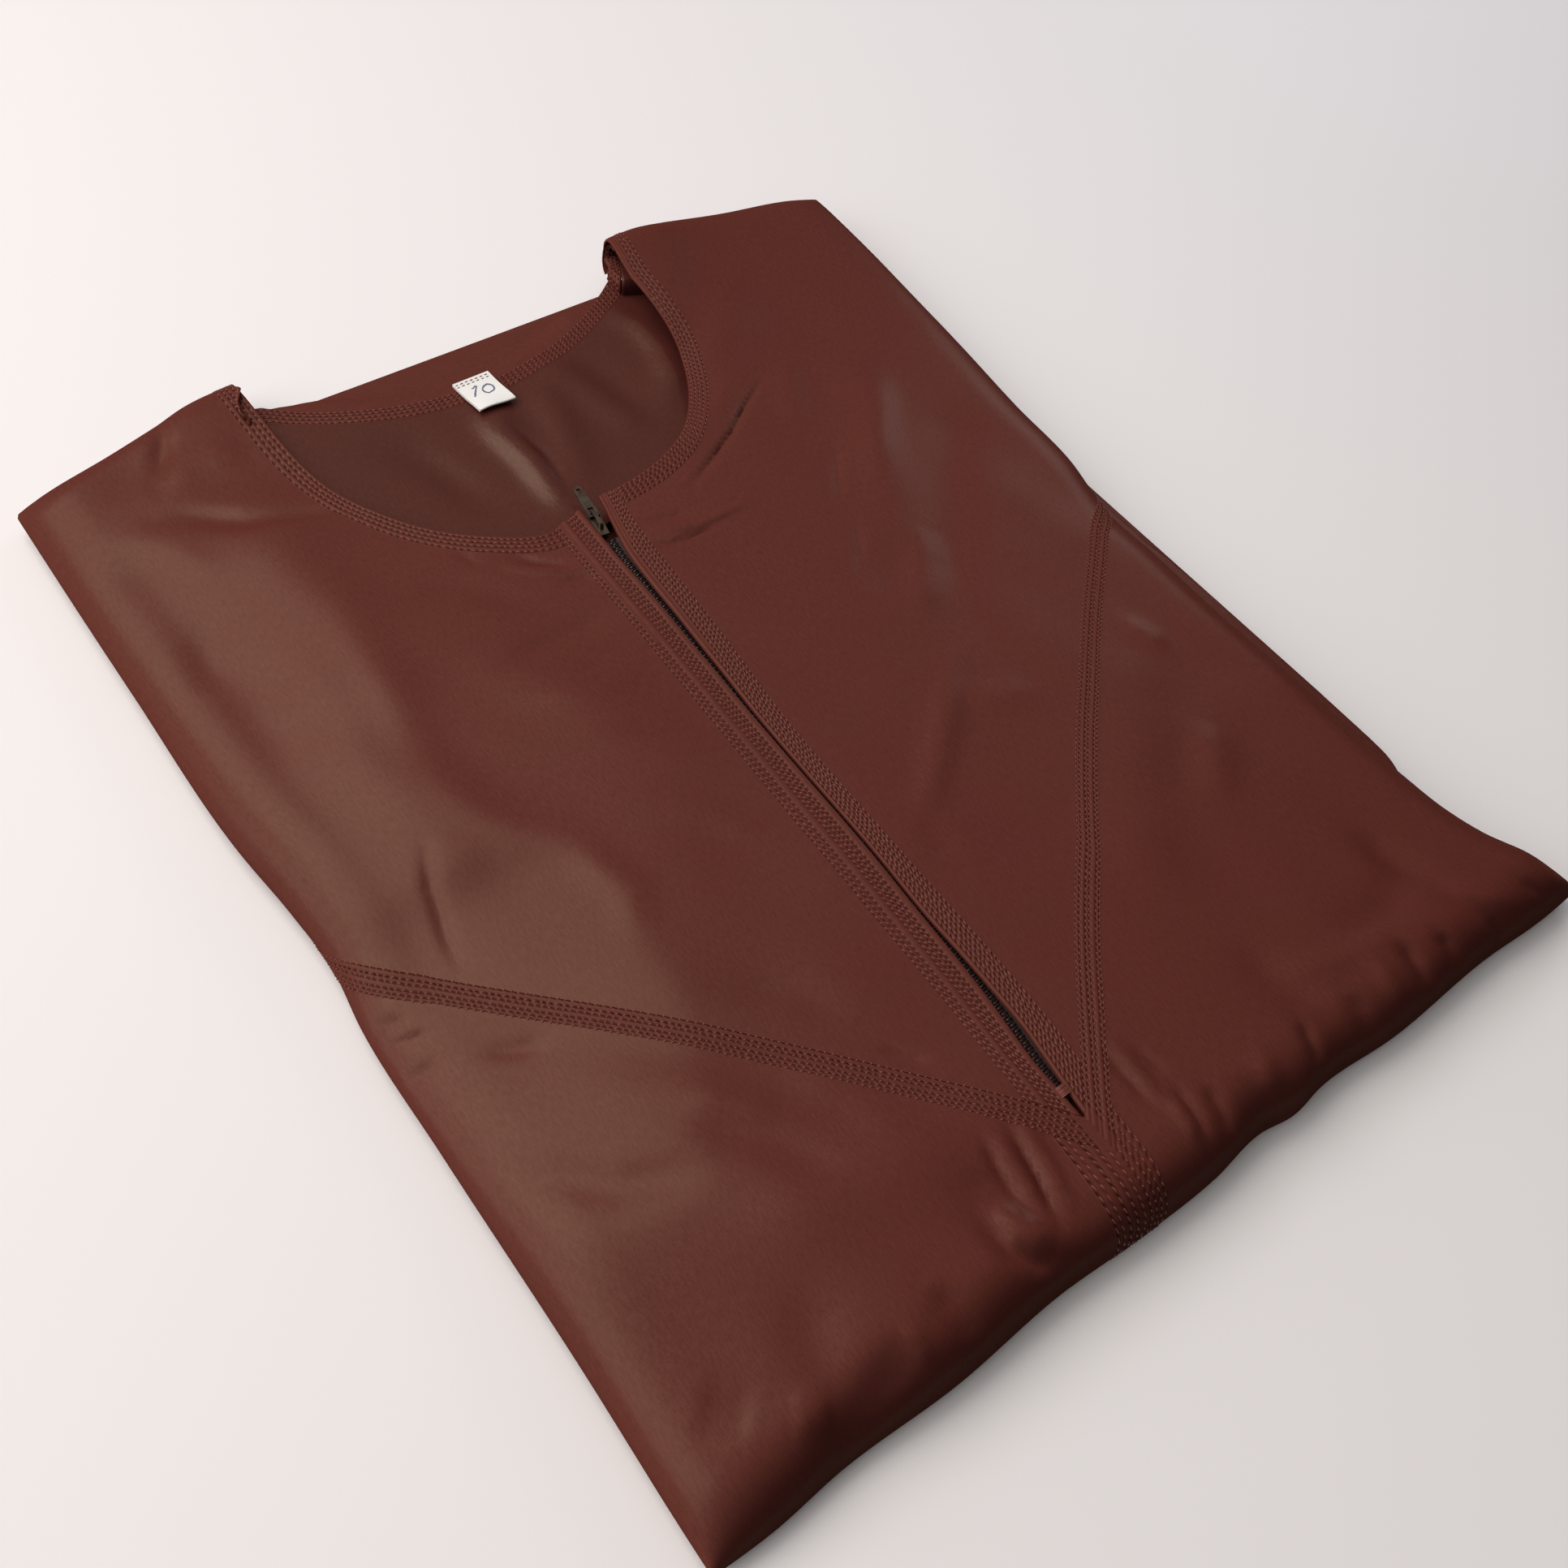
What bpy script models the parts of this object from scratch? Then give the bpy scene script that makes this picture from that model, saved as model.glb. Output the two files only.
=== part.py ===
"""A thobe of brown satin, folded like a shirt and lying front up.

The cloth is worked out on one form. A point on the form has two flat coordinates, across
and along, measured on the cloth in millimetres, and a lift above the cloth's underside.
Each piece that a maker would cut is an outline in those flat coordinates, filled with
triangles, laid over the form and given its own thickness.
"""

import bmesh
import bpy
import numpy as np
from mathutils import Matrix, Vector
from mathutils.geometry import delaunay_2d_cdt

MM = 0.001
QUARTER = np.pi / 2

# Driving sizes of the folded garment, in millimetres. Across runs to the right, along runs
# from the bottom fold (0) to the shoulder line.
HALF_WIDTH = 195.0
LENGTH = 450.0
MIDDLE_ACROSS = -1.62
MIDDLE_ALONG = 234.68
WALL = 1.2
BAND_WALL = 1.8
SEAM_GAP = 0.3
LAYER_GAP = 0.6
CORE_ROLL_GAP = 0.6

# How each edge rolls over: how far the roll reaches in from the outline, and the length of
# cloth in its first quarter turn.
ROLL_LEFT = 22.0
ROLL_RIGHT = 16.0
ROLL_BOTTOM = 20.0
ROLL_TOP = 12.0
TUCK = 8.0
SHELL_TURN = np.radians(165.0)
CORE_TURN = np.radians(174.0)
CORNER_TURN = np.radians(60.0)
MITRE_TURN = np.radians(28.0)
QUARTER_LENGTH = {"left": 27.8, "right": 19.0, "bottom": 25.6, "top": 14.9}

# Height of the cloth's underside along the garment: (along, height).
HEIGHTS = [(-40.0, 22.4), (0.0, 22.8), (70.0, 23.4), (220.0, 22.8), (340.0, 21.6), (400.0, 20.4), (450.0, 18.6),
           (490.0, 18.2)]

# Height at which the rolled edge turns under, for the bottom, the middle and the top of the
# garment: (left, middle, right).
TURN_HEIGHTS = [(6.0, 12.0, 10.0), (6.5, 14.0, 17.4), (8.0, 16.0, 15.5)]
# The bottom fold turns lower than the sides, so its face stands nearly upright.
BOTTOM_TURN_HEIGHT = 5.2
BOTTOM_TURN_REACH = (4.0, 36.0)
# The bottom fold is round at the left corner and squarer from there to the right.
BOTTOM_SQUARENESS = 0.4
BOTTOM_SQUARE_REACH = (-170.0, -60.0)

# Height of the turned-under cloth: on the floor, or on the lower layers at the right side
# and along the shoulders.
UNDER_FLOOR = 1.4
UNDER_ON_STACK = 12.0
UNDER_RIGHT = {"across": (20.0, 120.0), "along": (14.0, 44.0)}
UNDER_TOP = {"across": (-175.0, -90.0), "along": (380.0, 430.0)}

# The outline's departures from a plain rectangle, outwards positive.
RIGHT_SIDE = [(-30.0, -3.0), (0.0, -3.5), (6.0, -7.0), (18.0, -12.5), (31.0, -20.5), (45.0, -25.0), (66.0, -27.5),
              (90.0, -28.5), (120.0, -29.0), (165.0, -30.5), (200.0, -30.0), (222.0, -30.5), (236.0, -27.5),
              (254.0, -23.0), (292.0, -20.0), (333.0, -15.0), (380.0, -10.0), (411.0, -6.5), (450.0, -3.5),
              (490.0, -3.0)]
LEFT_SIDE = [(-30.0, -1.0), (20.0, -1.2), (60.0, -2.2), (140.0, -2.6), (190.0, -3.2), (214.0, -6.0), (240.0, -4.8),
             (270.0, -1.8), (350.0, -1.0), (450.0, -1.2), (490.0, -1.5)]
SHOULDERS = [(-200.0, -2.0), (-176.0, 3.0), (-153.0, 8.0), (-134.0, 13.0), (-118.0, 18.0), (-99.0, 20.0),
             (-60.0, 17.0), (40.0, 15.0), (79.0, 16.5), (100.0, 19.0), (116.0, 18.5), (146.0, 14.0), (180.0, 8.5),
             (200.0, 2.0)]
BOTTOM_FOLD = [(-200.0, 0.0), (-176.0, 0.8), (-152.0, -0.6), (-110.0, 0.8), (-65.0, -1.0), (-40.0, 0.2),
               (0.0, 0.6), (24.0, -1.6), (38.0, 0.4), (53.0, -1.2), (90.0, 0.8), (144.0, -0.4), (176.0, 1.0),
               (200.0, 0.4)]
SIDE_PULL_START = 40.0
END_PULL = 60.0

# Broad folds of the front: start, end, half width and height, ridges positive.
FRONT_FOLDS = [
    # across, along, across, along, half width, height
    (-150.0, 432.0, -78.0, 392.0, 15.0, -1.9),
    (-172.0, 388.0, -160.0, 300.0, 12.0, -1.2),
    (-128.0, 372.0, -126.0, 300.0, 16.0, 1.2),
    (-150.0, 300.0, -146.0, 225.0, 13.0, 1.3),
    (-96.0, 300.0, -60.0, 220.0, 18.0, 1.0),
    (110.0, 420.0, 66.0, 385.0, 10.0, -1.2),
    (128.0, 330.0, 88.0, 262.0, 14.0, 1.3),
    (150.0, 292.0, 96.0, 236.0, 13.0, -1.1),
    (120.0, 150.0, 60.0, 96.0, 16.0, 1.1),
    (-150.0, 150.0, -84.0, 84.0, 15.0, -1.2),
    (-120.0, 60.0, -62.0, 50.0, 15.0, 1.2),
    (-70.0, 30.0, -52.0, 14.0, 10.0, -1.4),
    (146.0, 46.0, 150.0, 4.0, 8.0, -1.6),
    (60.0, 36.0, 66.0, 4.0, 9.0, -1.2),
    (-140.0, 30.0, -146.0, 4.0, 9.0, -1.2),
]

# The right shoulder arches up beside the neck, so that the neck's end stands open there.
ARCH = {"across": 82.0, "along": 385.0, "reach": 40.0, "rise": 8.6, "turn_rise": 4.6}
LEFT_DIP = 2.4

# Past a soft crest line the garment slopes down to its left side: (along, across).
LEFT_CREST = [(-30.0, -118.0), (40.0, -124.0), (88.0, -137.0), (122.0, -117.0), (170.0, -105.0), (202.0, -108.0),
              (225.0, -126.0), (250.0, -136.0), (290.0, -127.0), (340.0, -119.0), (390.0, -120.0), (450.0, -112.0)]
LEFT_SLOPES = [(-30.0, 0.09), (380.0, 0.09), (450.0, 0.04)]
LEFT_CREST_WIDTH = 9.0

# The neck opening: half an ellipse below, straight sides above, and a shallow back.
NECK_MIDDLE = -11.0
NECK_HALF_WIDTH = 86.0
NECK_TOP = 425.0
NECK_DROPS = [(-110.0, 99.0), (-60.0, 99.0), (-33.0, 98.0), (-20.0, 91.5), (-9.0, 89.0), (5.0, 89.8), (25.0, 92.0),
              (45.0, 94.6), (90.0, 95.0)]
NECK_ENDS = [
    # along, left edge inwards, right edge outwards
    (425.0, 0.0, 0.0), (438.0, 0.0, 3.6), (446.0, 0.0, 6.2), (453.0, 0.5, 6.6), (460.0, 1.0, 4.0),
    (480.0, 1.0, 0.0),
]
BACK_NECK_LINE = 452.0
BACK_NECK_DROP = 30.0
BACK_HALF_WIDTH = 84.0
BACK_CORNER_DROP = 3.0
NECK_BAND = 9.5
BACK_BAND = 8.5
BACK_BAND_WALL = 1.5

# The inside of the back, seen through the neck, and how far it goes on under the front.
BACK_HEIGHT = 13.4
BACK_CORNER_RISE = 2.0
BACK_MARGIN = 1.09
BACK_CLEARANCE = 0.5
BACK_FOLDS = [
    # across, along, across, along, half width, height
    (-14.0, 402.0, -18.0, 352.0, 7.0, 1.2),
    (22.0, 410.0, 30.0, 376.0, 8.0, 1.3),
    (-52.0, 405.0, -44.0, 362.0, 9.0, -0.5),
]
HOLLOW_START = 1.18
HOLLOW_END = 1.52

# Where the hidden layers' outline leaves the shoulder line to pass behind the neck: margins
# beside the neck, the slant of the way down, and the places along of its shoulder and foot.
CORE_NECK = {"left margin": 14.0, "right margin": 40.0, "slant": 4.0, "shoulder": 446.0, "foot": 440.0,
             "arch foot": 94.0, "corner": 14.0, "behind seam": 2.0, "cut": 7.0}

# Seam bands that meet in a V, each by its middle line on the flat cloth.
SEAM_BAND = 9.0
SEAM_LEFT = [(-30.5, 26.7), (-46.0, 45.5), (-60.0, 62.0), (-100.0, 108.0), (-136.0, 147.5), (-169.0, 182.0),
             (-189.0, 203.0), (-240.0, 256.0)]
SEAM_RIGHT = [(-30.5, 26.7), (-19.5, 40.5), (25.0, 91.5), (75.0, 137.5), (108.0, 163.5), (142.0, 190.0),
              (178.0, 216.0), (230.0, 254.0)]

# The strip down the middle: (along, left edge, zip side of the left placket, zip side of
# the right placket, right edge), from below the bottom fold to above the neck.
STRIP = [
    (-40.0, -46.5, -31.2, -29.8, -26.0), (0.0, -46.0, -31.2, -29.8, -24.5), (14.0, -45.0, -31.2, -29.8, -22.0),
    (37.0, -43.8, -31.0, -29.6, -20.2), (47.0, -43.2, -30.9, -28.5, -18.8), (57.0, -42.6, -30.9, -27.2, -17.6),
    (67.0, -42.2, -29.8, -26.0, -16.9), (84.0, -41.5, -27.9, -25.4, -16.2), (98.0, -41.0, -27.0, -25.3, -16.0),
    (112.0, -40.8, -26.5, -25.5, -16.0), (147.0, -40.0, -24.9, -24.1, -16.0), (212.0, -38.2, -23.6, -22.7, -14.2),
    (248.0, -37.0, -22.2, -20.4, -10.2), (267.0, -36.2, -21.4, -19.2, -8.6), (287.0, -35.4, -20.7, -18.2, -7.2),
    (307.0, -34.4, -20.2, -16.0, -5.6), (318.0, -34.0, -19.4, -13.4, -4.4), (334.0, -33.0, -18.6, -9.4, -1.0),
    (350.0, -32.0, -18.4, -7.0, 0.6),
]

# The zip under the plackets.
ZIP_TOP = 315.0
ZIP_END = 42.0
TAPE_WALL = 0.8
TAPE_LIFT = -1.5
TAPE_INNER = 1.7
TAPE_OUTER = 9.0
COIL_HALF_WIDTH = 1.3
COIL_LIFTS = (-1.6, -0.4)
ZIP_TROUGH = 2.6
ZIP_TROUGH_HALF_WIDTH = 11.0
SLIDER_POCKET = 3.6
SLIDER_POCKET_REACH = 15.0

# The slider lies with its middle at this place, its length along the zip.
SLIDER_ACROSS = -16.6
SLIDER_ALONG = 324.5
SLIDER_TILT = np.radians(8.0)
SLIDER_LENGTH = 12.5
SLIDER_FRONT = 5.4
SLIDER_REAR = 3.6
SLIDER_PLATE = 1.0
SLIDER_THROAT = 1.2
SLIDER_TOP_LIFT = 0.3
BRIDGE_LENGTH = 8.6
BRIDGE_WIDTH = 1.5
BRIDGE_GAP = 1.6
BRIDGE_BEAM = 0.8
BRIDGE_POST = 1.2
PULL_LENGTH = 17.0
PULL_WALL = 0.9
PULL_ROOT = 4.4
PULL_TIP = 3.4
PULL_SLOT = 2.3
PULL_SLOT_LENGTH = 3.9
PULL_BAR = 0.9

# The size label: a folded loop of white tape sewn to the back neck band.
LABEL_ACROSS = -13.2
LABEL_TOP = 425.6
LABEL_WIDTH = 17.0
LABEL_LENGTH = 21.0
LABEL_WALL = 1.0
LABEL_TILT = 1.2
LABEL_TURN = np.radians(1.0)

# The lower layers: their outline, top and the profile of their folded edges, as steps in
# from the outline and shares of the height.
STACK_LEFT = [(0.0, -180.0), (450.0, -180.0)]
STACK_RIGHT = [(0.0, 163.0), (48.0, 163.0), (62.0, 172.0), (76.0, 180.0), (400.0, 180.0), (430.0, 176.0),
               (450.0, 172.0)]
STACK_BOTTOM = [(-200.0, 12.0), (200.0, 12.0)]
STACK_TOP = [(-190.0, 436.0), (-150.0, 442.0), (-105.0, 452.0), (140.0, 452.0), (180.0, 444.0)]
STACK_HEIGHT = 10.2
STACK_CORNER = 7.0
STACK_KEPT = ((-150.0, 140.0), (40.0, 415.0))
NOTCH_STEP = 5.0
HIDDEN_STEP_SHARE = 0.3
STACK_EDGE = [
    # step in, share of height
    (2.4, 0.995), (0.2, 0.87), (2.2, 0.74), (6.0, 0.69), (2.6, 0.64), (0.6, 0.51), (2.8, 0.38), (6.4, 0.33),
    (3.0, 0.27), (1.4, 0.13), (2.6, 0.0),
]

# Neighbouring tiles split the walls of their shared seam alike: from the end that is further
# back in this direction.
DIAGONAL = np.array([1.0, 0.37])

# How finely the solids are worked: spacings in the middle, the cloth's steps on a rolled edge
# and the turns at which the grid follows it.
SPACING = 16.0
CORE_STEP = 13.0
LINE_STEP = 12.0
ROLL_STEPS_PER_QUARTER = 5
INNER_MARGIN = 2.4
ROLL_STOPS = np.radians([22.0, 42.0, 60.0, 78.0, 96.0, 118.0, 142.0])

# Colours as red, green and blue, with roughness and metallic value.
SATIN = ((0.107, 0.030, 0.023), 0.42, 0.0)
SATIN_INSIDE = ((0.085, 0.026, 0.024), 0.4, 0.0)
STITCHED = ((0.125, 0.032, 0.024), 0.6, 0.0)
ZIP_TAPE = ((0.03, 0.012, 0.01), 0.8, 0.0)
ZIP_NYLON = ((0.012, 0.01, 0.01), 0.45, 0.0)
ZIP_METAL = ((0.05, 0.042, 0.032), 0.35, 0.9)
LABEL_WHITE = ((0.82, 0.8, 0.78), 0.75, 0.0)


def clear_scene():
    for item in list(bpy.data.objects):
        bpy.data.objects.remove(item, do_unlink=True)


def smooth(table, value):
    """A smooth curve through a table of (place, amount) rows."""
    rows = np.asarray(table, dtype=float)
    place = rows[:, 0]
    amount = rows[:, 1]
    slope = np.gradient(amount, place)
    value = np.clip(value, place[0], place[-1])
    index = np.clip(np.searchsorted(place, value) - 1, 0, len(place) - 2)
    span = place[index + 1] - place[index]
    t = (value - place[index]) / span
    start = amount[index] * (1 + 2 * t) * (1 - t) ** 2 + span * slope[index] * t * (1 - t) ** 2
    end = amount[index + 1] * t * t * (3 - 2 * t) + span * slope[index + 1] * t * t * (t - 1)
    return start + end


def straight(table, value):
    """Straight lines through a table of (place, amount) rows."""
    rows = np.asarray(table, dtype=float)
    return np.interp(value, rows[:, 0], rows[:, 1])


def ramp(value, low, high):
    """0 below low, 1 above high and a soft step between."""
    t = np.clip((value - low) / (high - low), 0.0, 1.0)
    return t * t * (3 - 2 * t)


def bell(value, reach):
    return np.exp(-((value / reach) ** 2))


def over_sides(rows, x, y):
    """A value at three places across for three places along, joined by parabolas."""
    s = x / HALF_WIDTH
    t = (y - LENGTH / 2) / (LENGTH / 2)
    weights_x = (s * (s - 1) / 2, 1 - s * s, s * (s + 1) / 2)
    weights_y = (t * (t - 1) / 2, 1 - t * t, t * (t + 1) / 2)
    total = 0.0
    for row, weight_y in zip(rows, weights_y):
        for amount, weight_x in zip(row, weights_x):
            total = total + amount * weight_x * weight_y
    return total


def fold_lines(rows, x, y):
    """Heights of soft folds, each along a short line and fading past its ends."""
    total = np.zeros_like(x)
    for x0, y0, x1, y1, half_width, height in rows:
        dx = x1 - x0
        dy = y1 - y0
        length = np.hypot(dx, dy)
        along = ((x - x0) * dx + (y - y0) * dy) / length
        aside = ((x - x0) * dy - (y - y0) * dx) / length
        past = np.maximum(np.maximum(-along, along - length), 0.0)
        total += height * bell(aside, half_width) * bell(past, half_width * 1.3)
    return total


def neck_reach(x, y):
    """Distance from the middle of the neck, 1 on the front neck edge."""
    down = np.maximum(NECK_TOP - y, 0.0) / smooth(NECK_DROPS, x)
    return np.hypot((x - NECK_MIDDLE) / NECK_HALF_WIDTH, down)


def arch(x, y):
    return bell(x - ARCH["across"], ARCH["reach"]) * ramp(y, ARCH["along"] - 30.0, ARCH["along"] + 60.0)


def left_fall(x, y):
    """How far the left side has dropped past its crest line."""
    past = smooth(LEFT_CREST, y) - x
    return smooth(LEFT_SLOPES, y) * (past + np.sqrt(past**2 + LEFT_CREST_WIDTH**2)) / 2


def front_height(x, y):
    height = smooth(HEIGHTS, y) - left_fall(x, y)
    height = height + ARCH["rise"] * arch(x, y)
    left = ramp(-x, -20.0, 40.0)
    height = height - LEFT_DIP * left * bell(neck_reach(x, y) - 1.0, 0.35)
    return height + fold_lines(FRONT_FOLDS, x, y)


def turn_height(x, y):
    height = over_sides(TURN_HEIGHTS, x, y) + ARCH["turn_rise"] * arch(x, y)
    return BOTTOM_TURN_HEIGHT + (height - BOTTOM_TURN_HEIGHT) * ramp(y, *BOTTOM_TURN_REACH)


def under_height(x, y):
    right = ramp(x, *UNDER_RIGHT["across"]) * ramp(y, *UNDER_RIGHT["along"])
    top = ramp(x, *UNDER_TOP["across"]) * ramp(y, *UNDER_TOP["along"])
    return UNDER_FLOOR + (UNDER_ON_STACK - UNDER_FLOOR) * np.maximum(right, top)


def turn_under(excess, reach, quarter):
    """Where cloth goes that runs past a crest: how far out, how much of the height is left
    and how much of the drop below the edge it has made."""
    angle = np.maximum(excess, 0.0) / quarter * QUARTER
    past = angle > QUARTER
    out = np.where(past, reach - TUCK * (1 - np.sin(angle)), reach * np.sin(angle))
    return out, np.where(past, 0.0, np.cos(angle)), np.where(past, -np.cos(angle), 0.0)


CRESTS = {
    "left": -(HALF_WIDTH - ROLL_LEFT),
    "right": HALF_WIDTH - ROLL_RIGHT,
    "bottom": ROLL_BOTTOM,
    "top": LENGTH - ROLL_TOP,
}


def flat_edge(side, angle):
    """Flat coordinate at which the cloth has turned by an angle past a side's crest."""
    outward = 1.0 if side in ("right", "top") else -1.0
    return CRESTS[side] + outward * QUARTER_LENGTH[side] * angle / QUARTER


def drape(p, q, top_height, edge_height):
    """Points of the form for flat coordinates, with a function for the top's height."""
    left_out, left_up, left_under = turn_under(CRESTS["left"] - p, ROLL_LEFT, QUARTER_LENGTH["left"])
    right_out, right_up, right_under = turn_under(p - CRESTS["right"], ROLL_RIGHT, QUARTER_LENGTH["right"])
    low_out, low_up, low_under = turn_under(CRESTS["bottom"] - q, ROLL_BOTTOM, QUARTER_LENGTH["bottom"])
    high_out, high_up, high_under = turn_under(q - CRESTS["top"], ROLL_TOP, QUARTER_LENGTH["top"])
    x = np.clip(p, CRESTS["left"], CRESTS["right"]) - left_out + right_out
    y = np.clip(q, CRESTS["bottom"], CRESTS["top"]) - low_out + high_out
    edge = edge_height(x, y)
    under = under_height(x, y)
    roundness = 1 - BOTTOM_SQUARENESS * ramp(x, *BOTTOM_SQUARE_REACH)
    up = left_up * right_up * low_up**roundness * high_up
    down = 1 - (1 - left_under - right_under) * (1 - low_under - high_under)
    z = edge + (top_height(x, y) - edge) * up - (edge - under) * down
    pull_right = np.clip((x - SIDE_PULL_START) / (HALF_WIDTH - SIDE_PULL_START), 0.0, 1.1)
    pull_left = np.clip((-x - SIDE_PULL_START) / (HALF_WIDTH - SIDE_PULL_START), 0.0, 1.1)
    pull_top = ramp(y, LENGTH - END_PULL, LENGTH - 4.0)
    pull_bottom = ramp(-y, -END_PULL / 2, -4.0)
    moved_x = x + smooth(RIGHT_SIDE, y) * pull_right - smooth(LEFT_SIDE, y) * pull_left
    moved_y = y + smooth(SHOULDERS, x) * pull_top - smooth(BOTTOM_FOLD, x) * pull_bottom
    return np.stack([moved_x, moved_y, z], axis=-1)


def lifted(surface, points, lift):
    """Points of a surface function, moved out along its normal."""
    step = 0.35
    flat = np.asarray(points, dtype=float)
    p = flat[:, 0]
    q = flat[:, 1]
    across = surface(p + step, q) - surface(p - step, q)
    along = surface(p, q + step) - surface(p, q - step)
    normal = np.cross(across, along)
    normal /= np.linalg.norm(normal, axis=1)[:, None]
    return surface(p, q) + normal * np.reshape(lift, (-1, 1))


def front(p, q):
    return drape(p, q, front_height, turn_height)


def back(p, q):
    """The inside of the back at the neck, nearly flat, on plan coordinates."""
    rise = BACK_CORNER_RISE * ramp(q, 436.0, 456.0) * ramp(np.abs(p - NECK_MIDDLE), 55.0, 85.0)
    z = BACK_HEIGHT + fold_lines(BACK_FOLDS, p, q) + rise
    return np.stack([p, q, z], axis=-1)


def line_between(points, step_of):
    """A polyline cut into steps, shorter where step_of says so."""
    result = [np.asarray(points[0], dtype=float)]
    for start, end in zip(points[:-1], points[1:]):
        start = np.asarray(start, dtype=float)
        end = np.asarray(end, dtype=float)
        length = np.linalg.norm(end - start)
        if length < 1e-6:
            continue
        step = min(step_of(start), step_of(end), step_of((start + end) / 2))
        count = max(1, int(np.ceil(length / step)))
        for index in range(1, count + 1):
            result.append(start + (end - start) * index / count)
    return result


def roll_step(point):
    """Step for a line that runs over the rolled edges."""
    p, q = point
    reach = 4.0
    steps = [LINE_STEP]
    if p < CRESTS["left"] + reach:
        steps.append(QUARTER_LENGTH["left"] / ROLL_STEPS_PER_QUARTER)
    if p > CRESTS["right"] - reach:
        steps.append(QUARTER_LENGTH["right"] / ROLL_STEPS_PER_QUARTER)
    if q < CRESTS["bottom"] + reach:
        steps.append(QUARTER_LENGTH["bottom"] / ROLL_STEPS_PER_QUARTER)
    if q > CRESTS["top"] - reach:
        steps.append(QUARTER_LENGTH["top"] / ROLL_STEPS_PER_QUARTER)
    return min(steps)


def even_step(point):
    return LINE_STEP


def core_step(point):
    return CORE_STEP


def aside(line, distance):
    """A polyline moved sideways, to its left for a positive distance."""
    line = np.asarray(line, dtype=float)
    heading = np.gradient(line, axis=0)
    heading /= np.linalg.norm(heading, axis=1)[:, None]
    return line + distance * np.stack([-heading[:, 1], heading[:, 0]], axis=1)


def crossing(line_a, line_b):
    """Where two polylines cross: the point, and its place along each of them."""
    for i in range(len(line_a) - 1):
        a0 = np.asarray(line_a[i])
        da = np.asarray(line_a[i + 1]) - a0
        for j in range(len(line_b) - 1):
            b0 = np.asarray(line_b[j])
            db = np.asarray(line_b[j + 1]) - b0
            turn = da[0] * db[1] - da[1] * db[0]
            if abs(turn) < 1e-9:
                continue
            offset = b0 - a0
            s = (offset[0] * db[1] - offset[1] * db[0]) / turn
            t = (offset[0] * da[1] - offset[1] * da[0]) / turn
            if -1e-9 <= s <= 1 + 1e-9 and -1e-9 <= t <= 1 + 1e-9:
                return a0 + s * da, i + s, j + t
    raise ValueError("the lines don't cross")


def stretch(line, start, end):
    """The part of a polyline between two other lines that cross it."""
    first, place_first, _ = crossing(line, start)
    last, place_last, _ = crossing(line, end)
    low, high = sorted((place_first, place_last))
    inner = [np.asarray(line[i]) for i in range(len(line)) if low + 1e-3 < i < high - 1e-3]
    if place_first > place_last:
        inner.reverse()
    return [first] + inner + [last]


def outline_of(*stretches):
    """A closed outline from stretches that follow each other, without doubled points."""
    outline = []
    for part in stretches:
        for point in part:
            if not outline or np.linalg.norm(point - outline[-1]) > 0.05:
                outline.append(np.asarray(point, dtype=float))
    if np.linalg.norm(outline[0] - outline[-1]) < 0.05:
        outline.pop()
    outline = np.array(outline)
    following = np.roll(outline, -1, axis=0)
    area = np.sum(outline[:, 0] * following[:, 1] - following[:, 0] * outline[:, 1])
    return outline if area > 0 else outline[::-1]


def inset(outline, distance):
    """A closed outline moved inwards, its corners mitred."""
    before = outline - np.roll(outline, 1, axis=0)
    after = np.roll(outline, -1, axis=0) - outline
    before /= np.linalg.norm(before, axis=1)[:, None]
    after /= np.linalg.norm(after, axis=1)[:, None]
    inward_before = np.stack([-before[:, 1], before[:, 0]], axis=1)
    inward_after = np.stack([-after[:, 1], after[:, 0]], axis=1)
    middle = inward_before + inward_after
    share = np.maximum(1 + np.sum(inward_before * inward_after, axis=1), 0.25)
    return outline + distance * middle / share[:, None]


def distance_to(outline, points):
    """Distance of each point from a closed outline, and whether it lies inside."""
    near = np.full(len(points), 1e9)
    inside = np.zeros(len(points), dtype=bool)
    for a, b in zip(outline, np.roll(outline, -1, axis=0)):
        side = b - a
        share = np.clip(((points - a) @ side) / (side @ side), 0.0, 1.0)
        near = np.minimum(near, np.linalg.norm(points - a - share[:, None] * side, axis=1))
        spans = (a[1] > points[:, 1]) != (b[1] > points[:, 1])
        rise = b[1] - a[1] if b[1] != a[1] else 1e-12
        cut = a[0] + (points[:, 1] - a[1]) / rise * side[0]
        inside ^= spans & (points[:, 0] < cut)
    return near, inside


def grid(spacing, turn):
    """Points all over the flat cloth, closer together on the rolled edges."""
    stops = {}
    for low, high, key in (("left", "right", "across"), ("bottom", "top", "along")):
        count = int(round((CRESTS[high] - CRESTS[low]) / spacing))
        middle = np.linspace(CRESTS[low], CRESTS[high], count + 1)
        turns = [angle for angle in ROLL_STOPS if angle < turn]
        before = [flat_edge(low, angle) for angle in turns]
        after = [flat_edge(high, angle) for angle in turns]
        stops[key] = np.concatenate([before[::-1], middle, after])
    p, q = np.meshgrid(stops["across"], stops["along"])
    return np.stack([p.ravel(), q.ravel()], axis=1)


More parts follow.
